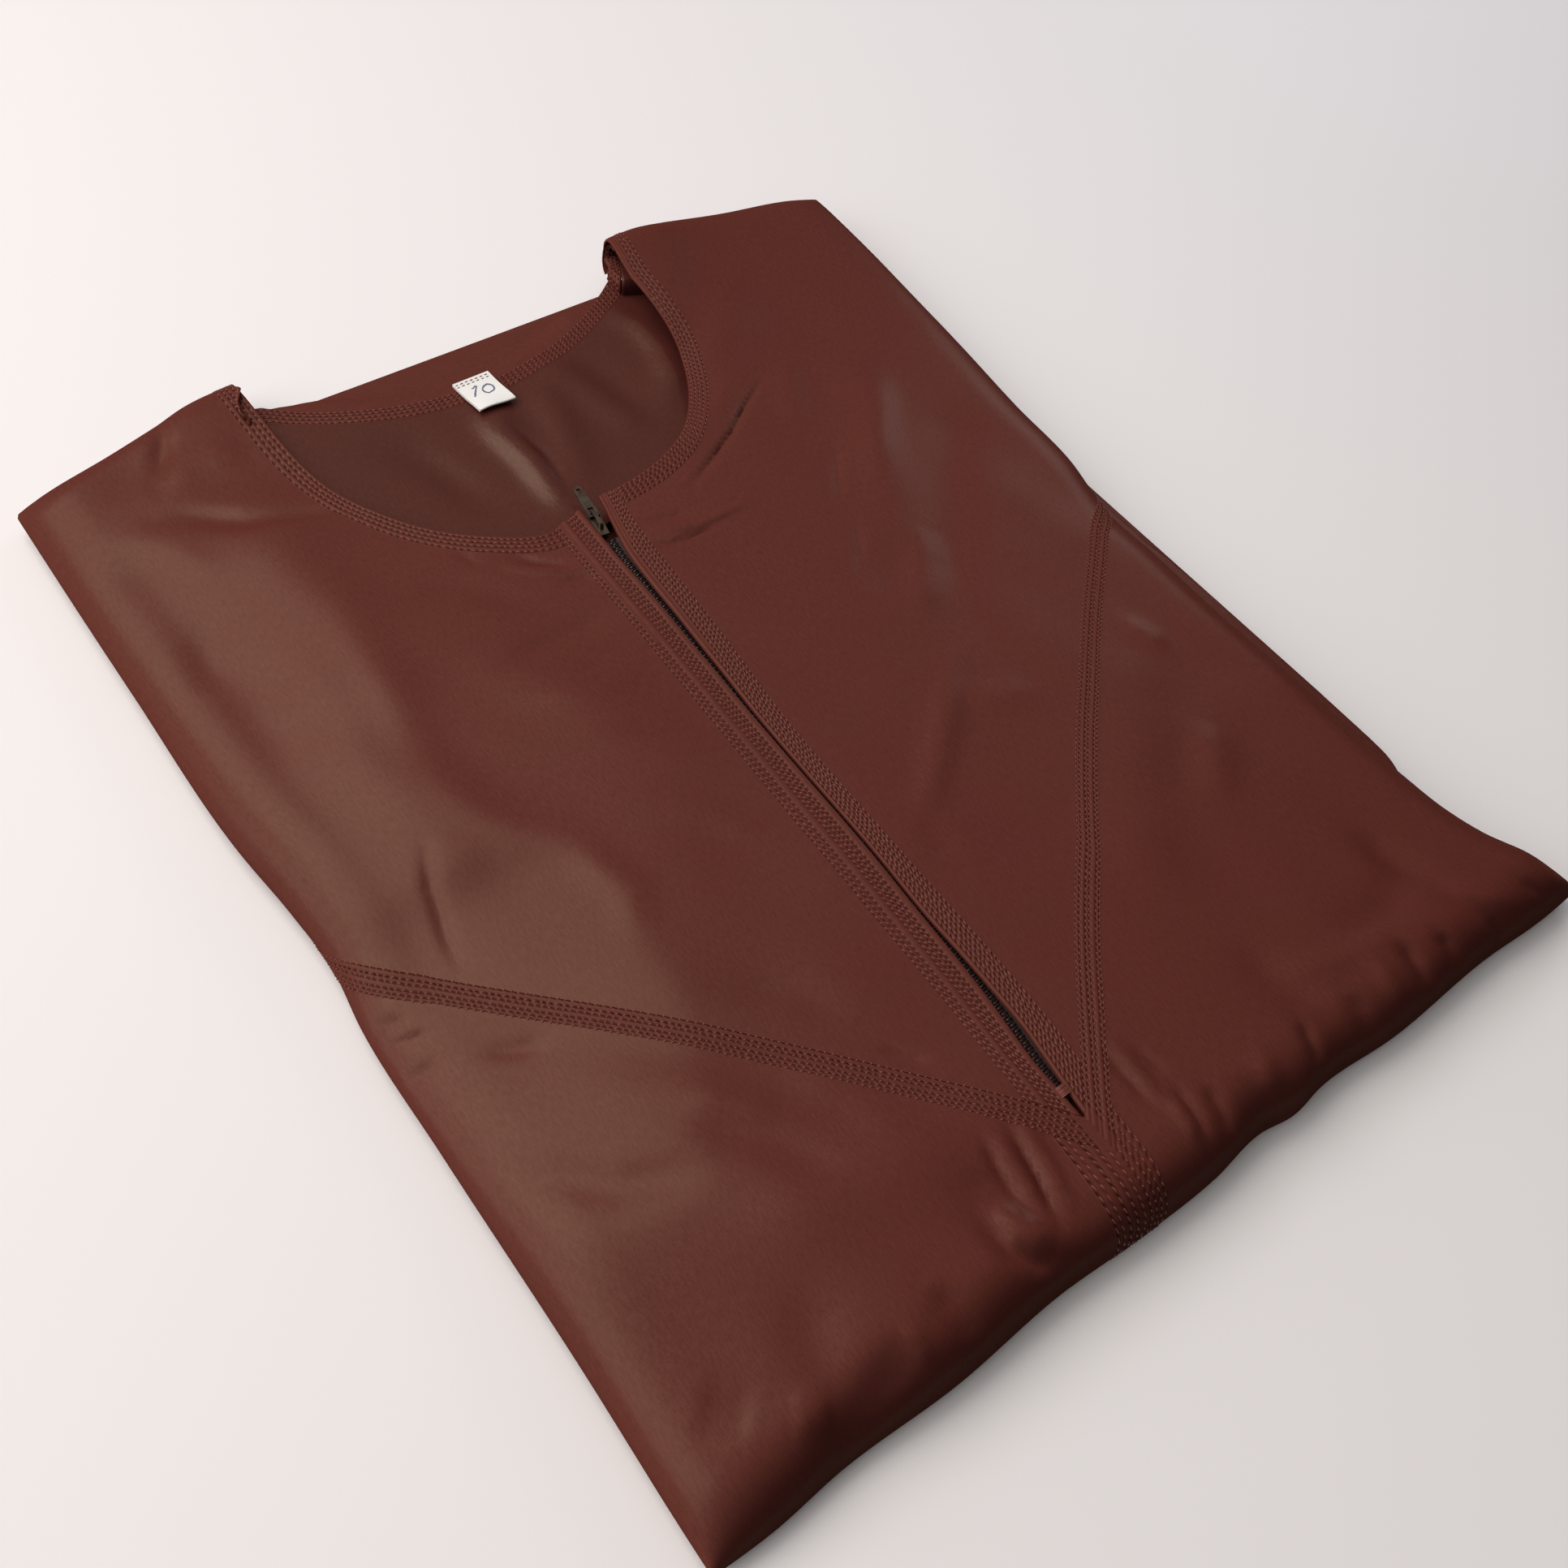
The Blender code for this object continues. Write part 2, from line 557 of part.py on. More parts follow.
def fill(outline, inner_points, margin):
    """Triangles that fill a closed outline, with the inner points that lie well inside."""
    if len(inner_points):
        near, inside = distance_to(outline, inner_points)
        inner_points = inner_points[inside & (near > margin)]
    count = len(outline)
    points = [Vector(point) for point in outline] + [Vector(point) for point in inner_points]
    edges = [(index, (index + 1) % count) for index in range(count)]
    verts, _, faces, _, _, _ = delaunay_2d_cdt(points, edges, [], 1, 1e-5)
    if len(verts) != len(points):
        raise ValueError("the outline crosses itself")
    flat = np.array([tuple(vert) for vert in verts])
    turned = []
    for a, b, c in faces:
        ab = flat[b] - flat[a]
        ac = flat[c] - flat[a]
        turned.append((a, b, c) if ab[0] * ac[1] - ab[1] * ac[0] > 0 else (a, c, b))
    return flat, turned, list(range(count))


def material_for(name, finish):
    colour, roughness, metallic = finish
    material = bpy.data.materials.new(name)
    material.use_nodes = True
    shader = material.node_tree.nodes["Principled BSDF"]
    shader.inputs["Base Color"].default_value = (*colour, 1.0)
    shader.inputs["Roughness"].default_value = roughness
    shader.inputs["Metallic"].default_value = metallic
    material.diffuse_color = (*colour, 1.0)
    return material


def add_object(name, points, faces, finish):
    """A named object from points in millimetres on the garment."""
    place = (np.asarray(points) - np.array([MIDDLE_ACROSS, MIDDLE_ALONG, 0.0])) * MM
    mesh = bpy.data.meshes.new(name)
    mesh.from_pydata([tuple(point) for point in place], [], faces)
    work = bmesh.new()
    work.from_mesh(mesh)
    bmesh.ops.recalc_face_normals(work, faces=work.faces)
    if work.calc_volume(signed=True) < 0:
        bmesh.ops.reverse_faces(work, faces=work.faces)
    work.to_mesh(mesh)
    work.free()
    mesh.shade_smooth()
    mesh.set_sharp_from_angle(angle=np.radians(40.0))
    mesh.materials.append(material_for(name, finish))
    result = bpy.data.objects.new(name, mesh)
    bpy.context.scene.collection.objects.link(result)
    return result


def add_wall(name, surface, outline, lifts, finish, spacing=SPACING, turn=SHELL_TURN, tilt=None):
    """A sheet of cloth over a surface, between two lifts and inside a closed outline."""
    outline = inset(outline, SEAM_GAP / 2)
    flat, triangles, rim = fill(outline, grid(spacing, turn), INNER_MARGIN)
    low = lifted(surface, flat, lifts[0])
    high = lifted(surface, flat, lifts[1])
    if tilt is not None:
        low = tilt(low, flat)
        high = tilt(high, flat)
    count = len(flat)
    faces = [(a + count, b + count, c + count) for a, b, c in triangles]
    faces += [(a, c, b) for a, b, c in triangles]
    for here, after in zip(rim, rim[1:] + rim[:1]):
        if flat[here] @ DIAGONAL < flat[after] @ DIAGONAL:
            faces.append((here, after, after + count))
            faces.append((here, after + count, here + count))
        else:
            faces.append((here, after, here + count))
            faces.append((after, after + count, here + count))
    return add_object(name, np.concatenate([low, high]), faces, finish)


def rim_line(turn, step_of):
    """The flat cloth's own outline, mitred at the corners so that it never doubles there."""
    left, right = flat_edge("left", turn), flat_edge("right", turn)
    bottom, top = flat_edge("bottom", turn), flat_edge("top", turn)
    corners = []
    for side, end, first_is_side in (
            ("left", "bottom", True), ("right", "bottom", False), ("right", "top", True), ("left", "top", False)):
        side_end = left if side == "left" else right
        end_end = bottom if end == "bottom" else top
        stops = [
            (side_end, flat_edge(end, MITRE_TURN)),
            (flat_edge(side, CORNER_TURN), flat_edge(end, CORNER_TURN)),
            (flat_edge(side, MITRE_TURN), end_end),
        ]
        corners += stops if first_is_side else stops[::-1]
    return line_between(corners + corners[:1], step_of)


def neck_line(extra):
    """The front neck edge, from the left shoulder round to the right, moved out by extra."""
    half_width = NECK_HALF_WIDTH + extra
    left = [(NECK_MIDDLE - half_width + inwards, along) for along, inwards, _ in NECK_ENDS[::-1]]
    right = [(NECK_MIDDLE + half_width + outwards, along) for along, _, outwards in NECK_ENDS]
    curve = []
    for angle in np.radians(np.linspace(180.0, 360.0, 33)):
        x = NECK_MIDDLE + half_width * np.cos(angle)
        curve.append((x, NECK_TOP + (smooth(NECK_DROPS, x) + extra) * np.sin(angle)))
    return line_between(left + curve[1:-1] + right, roll_step)


def strip_line(column):
    return line_between([(row[column], row[0]) for row in STRIP], roll_step)


def lines():
    """Every line along which the pieces of the front meet, on the flat cloth."""
    seam_left = line_between(SEAM_LEFT, roll_step)
    seam_right = line_between(SEAM_RIGHT, roll_step)
    half = SEAM_BAND / 2
    found = {
        "rim": rim_line(SHELL_TURN, even_step),
        "neck": neck_line(0.0),
        "neck_outer": neck_line(NECK_BAND),
        "strip_left": strip_line(1),
        "zip_left": strip_line(2),
        "zip_right": strip_line(3),
        "strip_right": strip_line(4),
        "left_upper": aside(seam_left, -half),
        "left_lower": aside(seam_left, half),
        "right_upper": aside(seam_right, half),
        "right_lower": aside(seam_right, -half),
    }
    for name in ("left_upper", "left_lower", "right_upper", "right_lower"):
        line = np.asarray(found[name])
        before = line[0] + (line[0] - line[1]) / np.linalg.norm(line[0] - line[1]) * SEAM_BAND
        found[name] = [before] + list(line)
    return found


def add_front():
    """The tiles of the front: yokes, lower fronts, bands and plackets."""
    line = lines()
    rim = line["rim"]
    apex_top, _, _ = crossing(line["left_upper"], line["right_upper"])
    apex_low, _, _ = crossing(line["left_lower"], line["right_lower"])
    apex = [apex_top + (apex_top - apex_low) * 3, apex_low - (apex_top - apex_low) * 3]
    plain = (0.0, WALL)
    raised = (0.0, BAND_WALL)

    def rim_from(start, end):
        return round_rim(rim, start, end)

    add_wall("neck_band_left", front, outline_of(
        stretch(line["neck"], rim, line["strip_left"]),
        stretch(line["neck_outer"], line["strip_left"], rim)), raised, STITCHED)
    add_wall("neck_band_right", front, outline_of(
        stretch(line["neck"][::-1], rim, line["strip_right"]),
        stretch(line["neck_outer"][::-1], line["strip_right"], rim)), raised, STITCHED)
    add_wall("front_yoke_left", front, outline_of(
        stretch(line["neck_outer"], rim, line["strip_left"]),
        stretch(line["strip_left"], line["neck_outer"], line["left_upper"]),
        stretch(line["left_upper"], line["strip_left"], rim),
        rim_from(line["left_upper"], line["neck_outer"])), plain, SATIN)
    add_wall("front_yoke_right", front, outline_of(
        stretch(line["neck_outer"][::-1], rim, line["strip_right"]),
        stretch(line["strip_right"], line["neck_outer"], line["right_upper"]),
        stretch(line["right_upper"], line["strip_right"], rim),
        rim_from(line["right_upper"], line["neck_outer"][::-1])), plain, SATIN)
    add_wall("placket_left", front, outline_of(
        stretch(line["neck"], line["strip_left"], line["zip_left"]),
        stretch(line["zip_left"], line["neck"], line["left_upper"]),
        stretch(line["left_upper"], line["zip_left"], line["strip_left"]),
        stretch(line["strip_left"], line["left_upper"], line["neck"])), raised, STITCHED)
    add_wall("placket_right", front, outline_of(
        stretch(line["neck"], line["zip_right"], line["strip_right"]),
        stretch(line["strip_right"], line["neck"], line["right_upper"]),
        stretch(line["right_upper"], line["strip_right"], line["zip_right"]),
        stretch(line["zip_right"], line["right_upper"], line["neck"])), raised, STITCHED)
    add_wall("seam_band_left", front, outline_of(
        stretch(line["left_upper"], apex, rim),
        rim_from(line["left_upper"], line["left_lower"]),
        stretch(line["left_lower"], rim, apex)), raised, STITCHED)
    add_wall("seam_band_right", front, outline_of(
        stretch(line["right_upper"], apex, rim),
        rim_from(line["right_upper"], line["right_lower"]),
        stretch(line["right_lower"], rim, apex)), raised, STITCHED)
    add_wall("centre_band", front, outline_of(
        stretch(line["strip_left"], rim, line["left_lower"]),
        stretch(line["left_lower"], line["strip_left"], apex),
        stretch(line["right_lower"], apex, line["strip_right"]),
        stretch(line["strip_right"], line["right_lower"], rim),
        rim_from(line["strip_right"], line["strip_left"])), raised, STITCHED)
    add_wall("front_panel_left", front, outline_of(
        stretch(line["left_lower"], rim, line["strip_left"]),
        stretch(line["strip_left"], line["left_lower"], rim),
        rim_from(line["strip_left"], line["left_lower"])), plain, SATIN)
    add_wall("front_panel_right", front, outline_of(
        stretch(line["right_lower"], rim, line["strip_right"]),
        stretch(line["strip_right"], line["right_lower"], rim),
        rim_from(line["strip_right"], line["right_lower"])), plain, SATIN)


def round_rim(rim, start, end):
    """The shorter way along the closed rim between two lines that cross it."""
    loop = rim[:-1]
    count = len(loop)
    first, place_first = rim_crossing(rim, start)
    last, place_last = rim_crossing(rim, end)
    forward = (place_last - place_first) % count
    backward = (place_first - place_last) % count
    inner = []
    if forward <= backward:
        index = int(np.floor(place_first)) + 1
        while (index - place_first) % count < forward - 1e-3 and len(inner) < count:
            inner.append(np.asarray(loop[index % count]))
            index += 1
    else:
        index = int(np.ceil(place_first)) - 1
        while (place_first - index) % count < backward - 1e-3 and len(inner) < count:
            inner.append(np.asarray(loop[index % count]))
            index -= 1
    return [first] + inner + [last]


def rim_crossing(rim, line):
    """Where a line first crosses the rim, and the place of that crossing along the rim."""
    point, _, place = crossing(line, rim)
    return point, place


def neck_seam(x):
    """The back neck edge: how far along it lies at a place across."""
    share = np.clip((x - NECK_MIDDLE) / BACK_HALF_WIDTH, -1.0, 1.0)
    return BACK_NECK_LINE - BACK_NECK_DROP * (1 - share * share)


def add_back():
    """The back's inside at the neck, and the band round its neck edge."""
    stops = np.linspace(NECK_MIDDLE - BACK_HALF_WIDTH, NECK_MIDDLE + BACK_HALF_WIDTH, 15)
    edge = [(x, neck_seam(x)) for x in stops]
    band_low = [(x, neck_seam(x) - BACK_BAND * np.hypot(1.0, 0.6 * (x - NECK_MIDDLE) / BACK_HALF_WIDTH))
                for x in stops]
    add_wall("neck_band_back", back, outline_of(edge, band_low[::-1]), (0.0, BACK_BAND_WALL), STITCHED)
    angles = np.radians(np.linspace(180.0, 360.0, 19))
    half_width = NECK_HALF_WIDTH * BACK_MARGIN
    lower = []
    for angle in angles:
        x = NECK_MIDDLE + half_width * np.cos(angle)
        lower.append((x, NECK_TOP + smooth(NECK_DROPS, x) * BACK_MARGIN * np.sin(angle)))
    corner_left = (NECK_MIDDLE - half_width, BACK_NECK_LINE - BACK_CORNER_DROP)
    corner_right = (NECK_MIDDLE + half_width, BACK_NECK_LINE - BACK_CORNER_DROP)
    sides = [(stops[-1], BACK_NECK_LINE - BACK_CORNER_DROP), corner_right], [corner_left, (stops[0], BACK_NECK_LINE - BACK_CORNER_DROP)]
    outline = line_between([corner_left] + lower + [corner_right], even_step)
    add_wall("back_panel", back, outline_of(outline, sides[0][::-1], band_low[::-1], sides[1][::-1]), (0.0, WALL),
             SATIN_INSIDE)


def zip_middle(y):
    """Middle of the gap between the plackets."""
    rows = [(row[0], (row[2] + row[3]) / 2) for row in STRIP]
    return smooth(rows, y)


def core_height(x, y):
    """Top of the hidden layers: under the front, lower under the neck and the zip."""
    under_front = front_height(x, y) - LAYER_GAP
    hollow = 1 - ramp(neck_reach(x, y), HOLLOW_START, HOLLOW_END)
    under_back = BACK_HEIGHT - LAYER_GAP - BACK_CLEARANCE
    height = under_front + (under_back - under_front) * hollow
    beside_zip = bell((x - zip_middle(y)) / ZIP_TROUGH_HALF_WIDTH, 1.15)
    height = height - ZIP_TROUGH * beside_zip * ramp(y, 20.0, 44.0) * (1 - ramp(y, 332.0, 350.0))
    away = np.hypot(x - SLIDER_ACROSS, y - SLIDER_ALONG)
    return height - SLIDER_POCKET * bell(away, SLIDER_POCKET_REACH) * (1 - hollow)


def core_turn_height(x, y):
    hollow = 1 - ramp(neck_reach(x, y), HOLLOW_START, HOLLOW_END)
    edge = turn_height(x, y)
    return edge + (np.minimum(BACK_HEIGHT - LAYER_GAP - BACK_CLEARANCE, edge) - edge) * hollow


def core(p, q):
    return drape(p, q, core_height, core_turn_height)


def core_guides():
    """Points that the hidden layers need besides the plain grid: round the neck and the zip."""
    guides = []
    for reach in (0.7, 1.0, HOLLOW_START, (HOLLOW_START + HOLLOW_END) / 2, HOLLOW_END):
        for angle in np.radians(np.linspace(180.0, 360.0, 15)):
            x = NECK_MIDDLE + NECK_HALF_WIDTH * reach * np.cos(angle)
            guides.append((x, NECK_TOP + smooth(NECK_DROPS, x) * reach * np.sin(angle)))
    stations = list(np.arange(24.0, 304.0, 20.0)) + [306.0, 314.0, 322.0, 330.0]
    for y in stations:
        for side in (-1.5, -0.75, 0.0, 0.75, 1.5):
            guides.append((zip_middle(y) + side * ZIP_TROUGH_HALF_WIDTH, y))
    return np.array(guides, dtype=float)


def core_outline():
    """The hidden layers' upper outline: the cloth's rim, but round the neck and its arch."""
    rim = rim_line(CORE_TURN, core_step)
    top = flat_edge("top", CORE_TURN)
    left = NECK_MIDDLE - NECK_HALF_WIDTH - CORE_NECK["left margin"]
    right = NECK_MIDDLE + NECK_HALF_WIDTH + CORE_NECK["right margin"]
    slant = CORE_NECK["slant"]
    kept_half = BACK_HALF_WIDTH - CORE_NECK["corner"]
    stops = [x for x in np.linspace(NECK_MIDDLE + BACK_HALF_WIDTH, NECK_MIDDLE - BACK_HALF_WIDTH, 15)
             if abs(x - NECK_MIDDLE) < kept_half]
    neck = [(right + slant - 1.0, top + slant), (right, CORE_NECK["shoulder"]),
            (right - 2 * slant, CORE_NECK["foot"]), (CORE_NECK["arch foot"], CORE_NECK["foot"] - 2.0)]
    neck += [(x, neck_seam(x) - CORE_NECK["behind seam"]) for x in stops]
    neck += [(left + 3 * slant, CORE_NECK["foot"]), (left - slant, CORE_NECK["shoulder"]),
             (left - slant - 1.0, top + slant)]
    neck = line_between(neck, core_step)
    reach = 9.0
    across_neck = stretch(neck, [(right - reach, top), (right + reach, top)],
                          [(left - reach, top), (left + reach, top)])
    cut_left, cut_right = left - CORE_NECK["cut"], right + CORE_NECK["cut"]
    kept = [point for point in rim[:-1] if not (point[1] > top - 1e-6 and cut_left < point[0] < cut_right)]
    right_of_neck = [i for i, point in enumerate(kept) if point[1] > top - 1e-6 and point[0] >= cut_right]
    first = right_of_neck[-1] + 1
    return outline_of(kept[first:] + kept[:first], across_neck)


def add_core():
    """The folded layers below the front: one solid, its lower edges drawn in like folds."""
    outline = core_outline()
    guides = core_guides()
    plain = grid(SPACING, CORE_TURN)
    away = np.min(np.linalg.norm(plain[:, None] - guides[None], axis=2), axis=1)
    inner = np.concatenate([plain[away > SPACING * 0.45], guides])
    flat, triangles, rim = fill(outline, inner, SPACING * 0.3)
    points = lifted(core, flat, np.full(len(flat), -0.2))
    rolled = turned_share(flat)
    inward = lifted(core, flat, np.full(len(flat), CORE_ROLL_GAP)) - lifted(core, flat, np.zeros(len(flat)))
    points = points - rolled[:, None] * inward
    faces = list(triangles)
    edge = points[rim]
    count = len(edge)
    rings = [edge.copy()]
    low = np.minimum(STACK_HEIGHT, under_height(edge[:, 0], edge[:, 1]) + 0.3)
    low = np.minimum(low, edge[:, 2] - 0.4)
    side = sides_of(flat[rim])
    rings.append(notch_ring(edge, flat[rim], side, low))
    for step_in, share in STACK_EDGE:
        ring = stack_ring(flat[rim], side, step_in)
        ring[:, 2] = low * share
        rings.append(ring)
    everything = [points]
    offset = len(points)
    previous = list(rim)
    for ring in rings[1:]:
        current = list(range(offset, offset + count))
        everything.append(ring)
        for i in range(count):
            j = (i + 1) % count
            faces.append((previous[i], current[i], current[j]))
            faces.append((previous[i], current[j], previous[j]))
        previous = current
        offset += count
    last = rings[-1][:, :2]
    base, base_faces, _ = fill(last, np.empty((0, 2)), 1.0)
    faces += [(previous[a], previous[c], previous[b]) for a, b, c in base_faces]
    add_object("folded_layers", np.concatenate(everything), faces, SATIN)


def turned_share(flat):
    """How far a flat point lies into a rolled edge, 0 on top to 1 past the outline."""
    share = np.zeros(len(flat))
    for side, axis in (("left", 0), ("right", 0), ("bottom", 1), ("top", 1)):
        outward = 1.0 if side in ("right", "top") else -1.0
        excess = (flat[:, axis] - CRESTS[side]) * outward
        share = np.maximum(share, ramp(excess, 0.0, QUARTER_LENGTH[side]))
    return share


def sides_of(flat):
    """Which side of the garment each point of the core's outline belongs to."""
    left = flat_edge("left", CORE_TURN) + 1.0
    right = flat_edge("right", CORE_TURN) - 1.0
    bottom = flat_edge("bottom", MITRE_TURN) - 1.0
    names = []
    for p, q in flat:
        if p < left:
            names.append("left")
        elif p > right:
            names.append("right")
        elif q < bottom:
            names.append("bottom")
        else:
            names.append("top")
    return np.array(names)


def notch_ring(edge, flat, side, low):
    """The ring where the upper form meets the lower layers: below its edge, or drawn in."""
    x, y = edge[:, 0], edge[:, 1]
    beside = (x < straight(STACK_LEFT, y)) | (x > straight(STACK_RIGHT, y) - NOTCH_STEP)
    beyond = (y < straight(STACK_BOTTOM, x)) | (y > straight(STACK_TOP, x) - NOTCH_STEP)
    ring = np.where((beside | beyond)[:, None], stack_ring(flat, side, NOTCH_STEP), edge)
    ring[:, 2] = low
    return ring


def stack_ring(flat, side, step_in):
    """A ring of the lower layers' edge, each point on its own side of the layers' outline."""
    ring = np.zeros((len(flat), 3))
    low_x, high_x = STACK_LEFT[0][1], STACK_RIGHT[0][1]
    small_step = step_in * HIDDEN_STEP_SHARE
    for name, axis, table, inward, low, high in (
            ("left", 0, STACK_LEFT, small_step, STACK_BOTTOM[0][1], STACK_TOP[0][1]),
            ("right", 0, STACK_RIGHT, -step_in, STACK_BOTTOM[-1][1], STACK_TOP[-1][1]),
            ("bottom", 1, STACK_BOTTOM, small_step, low_x, high_x),
            ("top", 1, STACK_TOP, -step_in, low_x, STACK_RIGHT[-1][1])):
        chosen = side == name
        values = flat[chosen, 1 - axis]
        kept = STACK_KEPT[1 - axis]
        place = np.interp(values, [values.min(), *kept, values.max()],
                          [low + STACK_CORNER, *kept, high - STACK_CORNER])
        ring[chosen, 1 - axis] = place
        ring[chosen, axis] = straight(table, place) + inward
    return ring


def add_zip():
    """Tapes and the closed row of teeth, under the plackets."""
    stops = np.linspace(ZIP_END, ZIP_TOP, 22)
    for name, sign in (("zip_tape_left", -1.0), ("zip_tape_right", 1.0)):
        inner = [(zip_middle(y) + sign * TAPE_INNER, y) for y in stops]
        outer = [(zip_middle(y) + sign * TAPE_OUTER, y) for y in stops]
        add_wall(name, front, outline_of(inner, outer[::-1]), (TAPE_LIFT, TAPE_LIFT + TAPE_WALL), ZIP_TAPE)
    low = [(zip_middle(y) - COIL_HALF_WIDTH, y) for y in stops]
    high = [(zip_middle(y) + COIL_HALF_WIDTH, y) for y in stops]
    add_wall("zip_coil", front, outline_of(low, high[::-1]), COIL_LIFTS, ZIP_NYLON)


def slider_frame():
    """Where the pull tab turns: the place in millimetres and the zip's own directions."""
    surface = front(np.array([SLIDER_ACROSS]), np.array([SLIDER_ALONG]))[0]
    along = np.array([np.sin(SLIDER_TILT), np.cos(SLIDER_TILT), 0.0])
    across = np.array([np.cos(SLIDER_TILT), -np.sin(SLIDER_TILT), 0.0])
    return surface, along, across


def slab(work, half_front, half_rear, y0, y1, z0, z1):
    """A plate in a bmesh, its width going from rear to front."""
    corners = [(-half_rear, y0), (half_rear, y0), (half_front, y1), (-half_front, y1)]
    low = [work.verts.new((x, y, z0)) for x, y in corners]
    high = [work.verts.new((x, y, z1)) for x, y in corners]
    work.faces.new(low[::-1])
    work.faces.new(high)
    for i in range(4):
        j = (i + 1) % 4
        work.faces.new((low[i], low[j], high[j], high[i]))


def extrude_profile(work, profile, half_width):
    """A side profile (along, up) given a width, both ends closed."""
    left = [work.verts.new((-half_width, y, z)) for y, z in profile]
    right = [work.verts.new((half_width, y, z)) for y, z in profile]
    count = len(profile)
    work.faces.new(left[::-1])
    work.faces.new(right)
    for i in range(count):
        j = (i + 1) % count
        work.faces.new((left[i], left[j], right[j], right[i]))


def finish_solid(name, work, finish, place, along, across):
    """A bmesh in the slider's own directions, made into an object at its place."""
    bmesh.ops.recalc_face_normals(work, faces=work.faces)
    mesh = bpy.data.meshes.new(name)
    bmesh.ops.scale(work, vec=(MM, MM, MM), verts=work.verts)
    work.to_mesh(mesh)
    work.free()
    mesh.materials.append(material_for(name, finish))
    result = bpy.data.objects.new(name, mesh)
    up = np.array([0.0, 0.0, 1.0])
    turn = Matrix((across, along, up)).transposed()
    result.matrix_world = Matrix.Translation(Vector(place)) @ turn.to_4x4()
    bpy.context.scene.collection.objects.link(result)
    return result


def add_slider():
    """The slider's body with its bridge, and the tab that swings on a bar under it."""
    surface, along, across = slider_frame()
    top = SLIDER_TOP_LIFT
    pivot_up = top + BRIDGE_GAP / 2
    bridge_front = SLIDER_LENGTH / 2 - 0.8
    bridge_rear = bridge_front - BRIDGE_LENGTH
    pivot_along = bridge_front - BRIDGE_POST - PULL_BAR / 2 - 0.3
    middle = surface - np.array([MIDDLE_ACROSS, MIDDLE_ALONG, 0.0])
    place = (middle + along * pivot_along + np.array([0.0, 0.0, pivot_up])) * MM
    front_end = SLIDER_LENGTH / 2 - pivot_along
    rear_end = -SLIDER_LENGTH / 2 - pivot_along
    plate_top = top - pivot_up
    plate_low = plate_top - SLIDER_PLATE
    under_top = plate_low - SLIDER_THROAT
    under_low = under_top - SLIDER_PLATE
    beam_low = plate_top + BRIDGE_GAP
    beam_top = beam_low + BRIDGE_BEAM
    sunk = plate_top - SLIDER_PLATE / 2
    front_foot = bridge_front - pivot_along
    rear_foot = bridge_rear - pivot_along
    half_front = SLIDER_FRONT / 2
    half_rear = SLIDER_REAR / 2

    upper = bmesh.new()
    slab(upper, half_front, half_rear, rear_end, front_end, plate_low, plate_top)
    slider = finish_solid("zip_slider", upper, ZIP_METAL, place, along, across)
    lower = bmesh.new()
    slab(lower, half_front - 0.3, half_rear - 0.3, rear_end + 0.4, front_end - 0.4, under_low, under_top)
    join_to(slider, "slider_under_plate", lower)
    neck = bmesh.new()
    slab(neck, 0.6, 0.6, front_end - 3.6, front_end - 1.0, under_low + SLIDER_PLATE / 2, sunk)
    join_to(slider, "slider_neck", neck)
    bridge = bmesh.new()
    extrude_profile(bridge, [
        (rear_foot, sunk), (rear_foot, beam_top - 0.5), (rear_foot + 0.5, beam_top), (front_foot - 0.5, beam_top),
        (front_foot, beam_top - 0.5), (front_foot, sunk), (front_foot - BRIDGE_POST, sunk),
        (front_foot - BRIDGE_POST, beam_low), (rear_foot + BRIDGE_POST, beam_low), (rear_foot + BRIDGE_POST, sunk),
    ], BRIDGE_WIDTH / 2)
    join_to(slider, "slider_bridge", bridge)
    add_pull(place, along, across)


def join_to(target, name, work):
    """Joins a helper solid to a target by a Boolean union."""
    bmesh.ops.scale(work, vec=(MM, MM, MM), verts=work.verts)
    bmesh.ops.recalc_face_normals(work, faces=work.faces)
    mesh = bpy.data.meshes.new(name)
    work.to_mesh(mesh)
    work.free()
    helper = bpy.data.objects.new(name, mesh)
    helper.matrix_world = target.matrix_world
    helper.hide_render = True
    helper.display_type = "WIRE"
    bpy.context.scene.collection.objects.link(helper)
    union = target.modifiers.new(name, "BOOLEAN")
    union.object = helper
    union.operation = "UNION"
    union.solver = "EXACT"


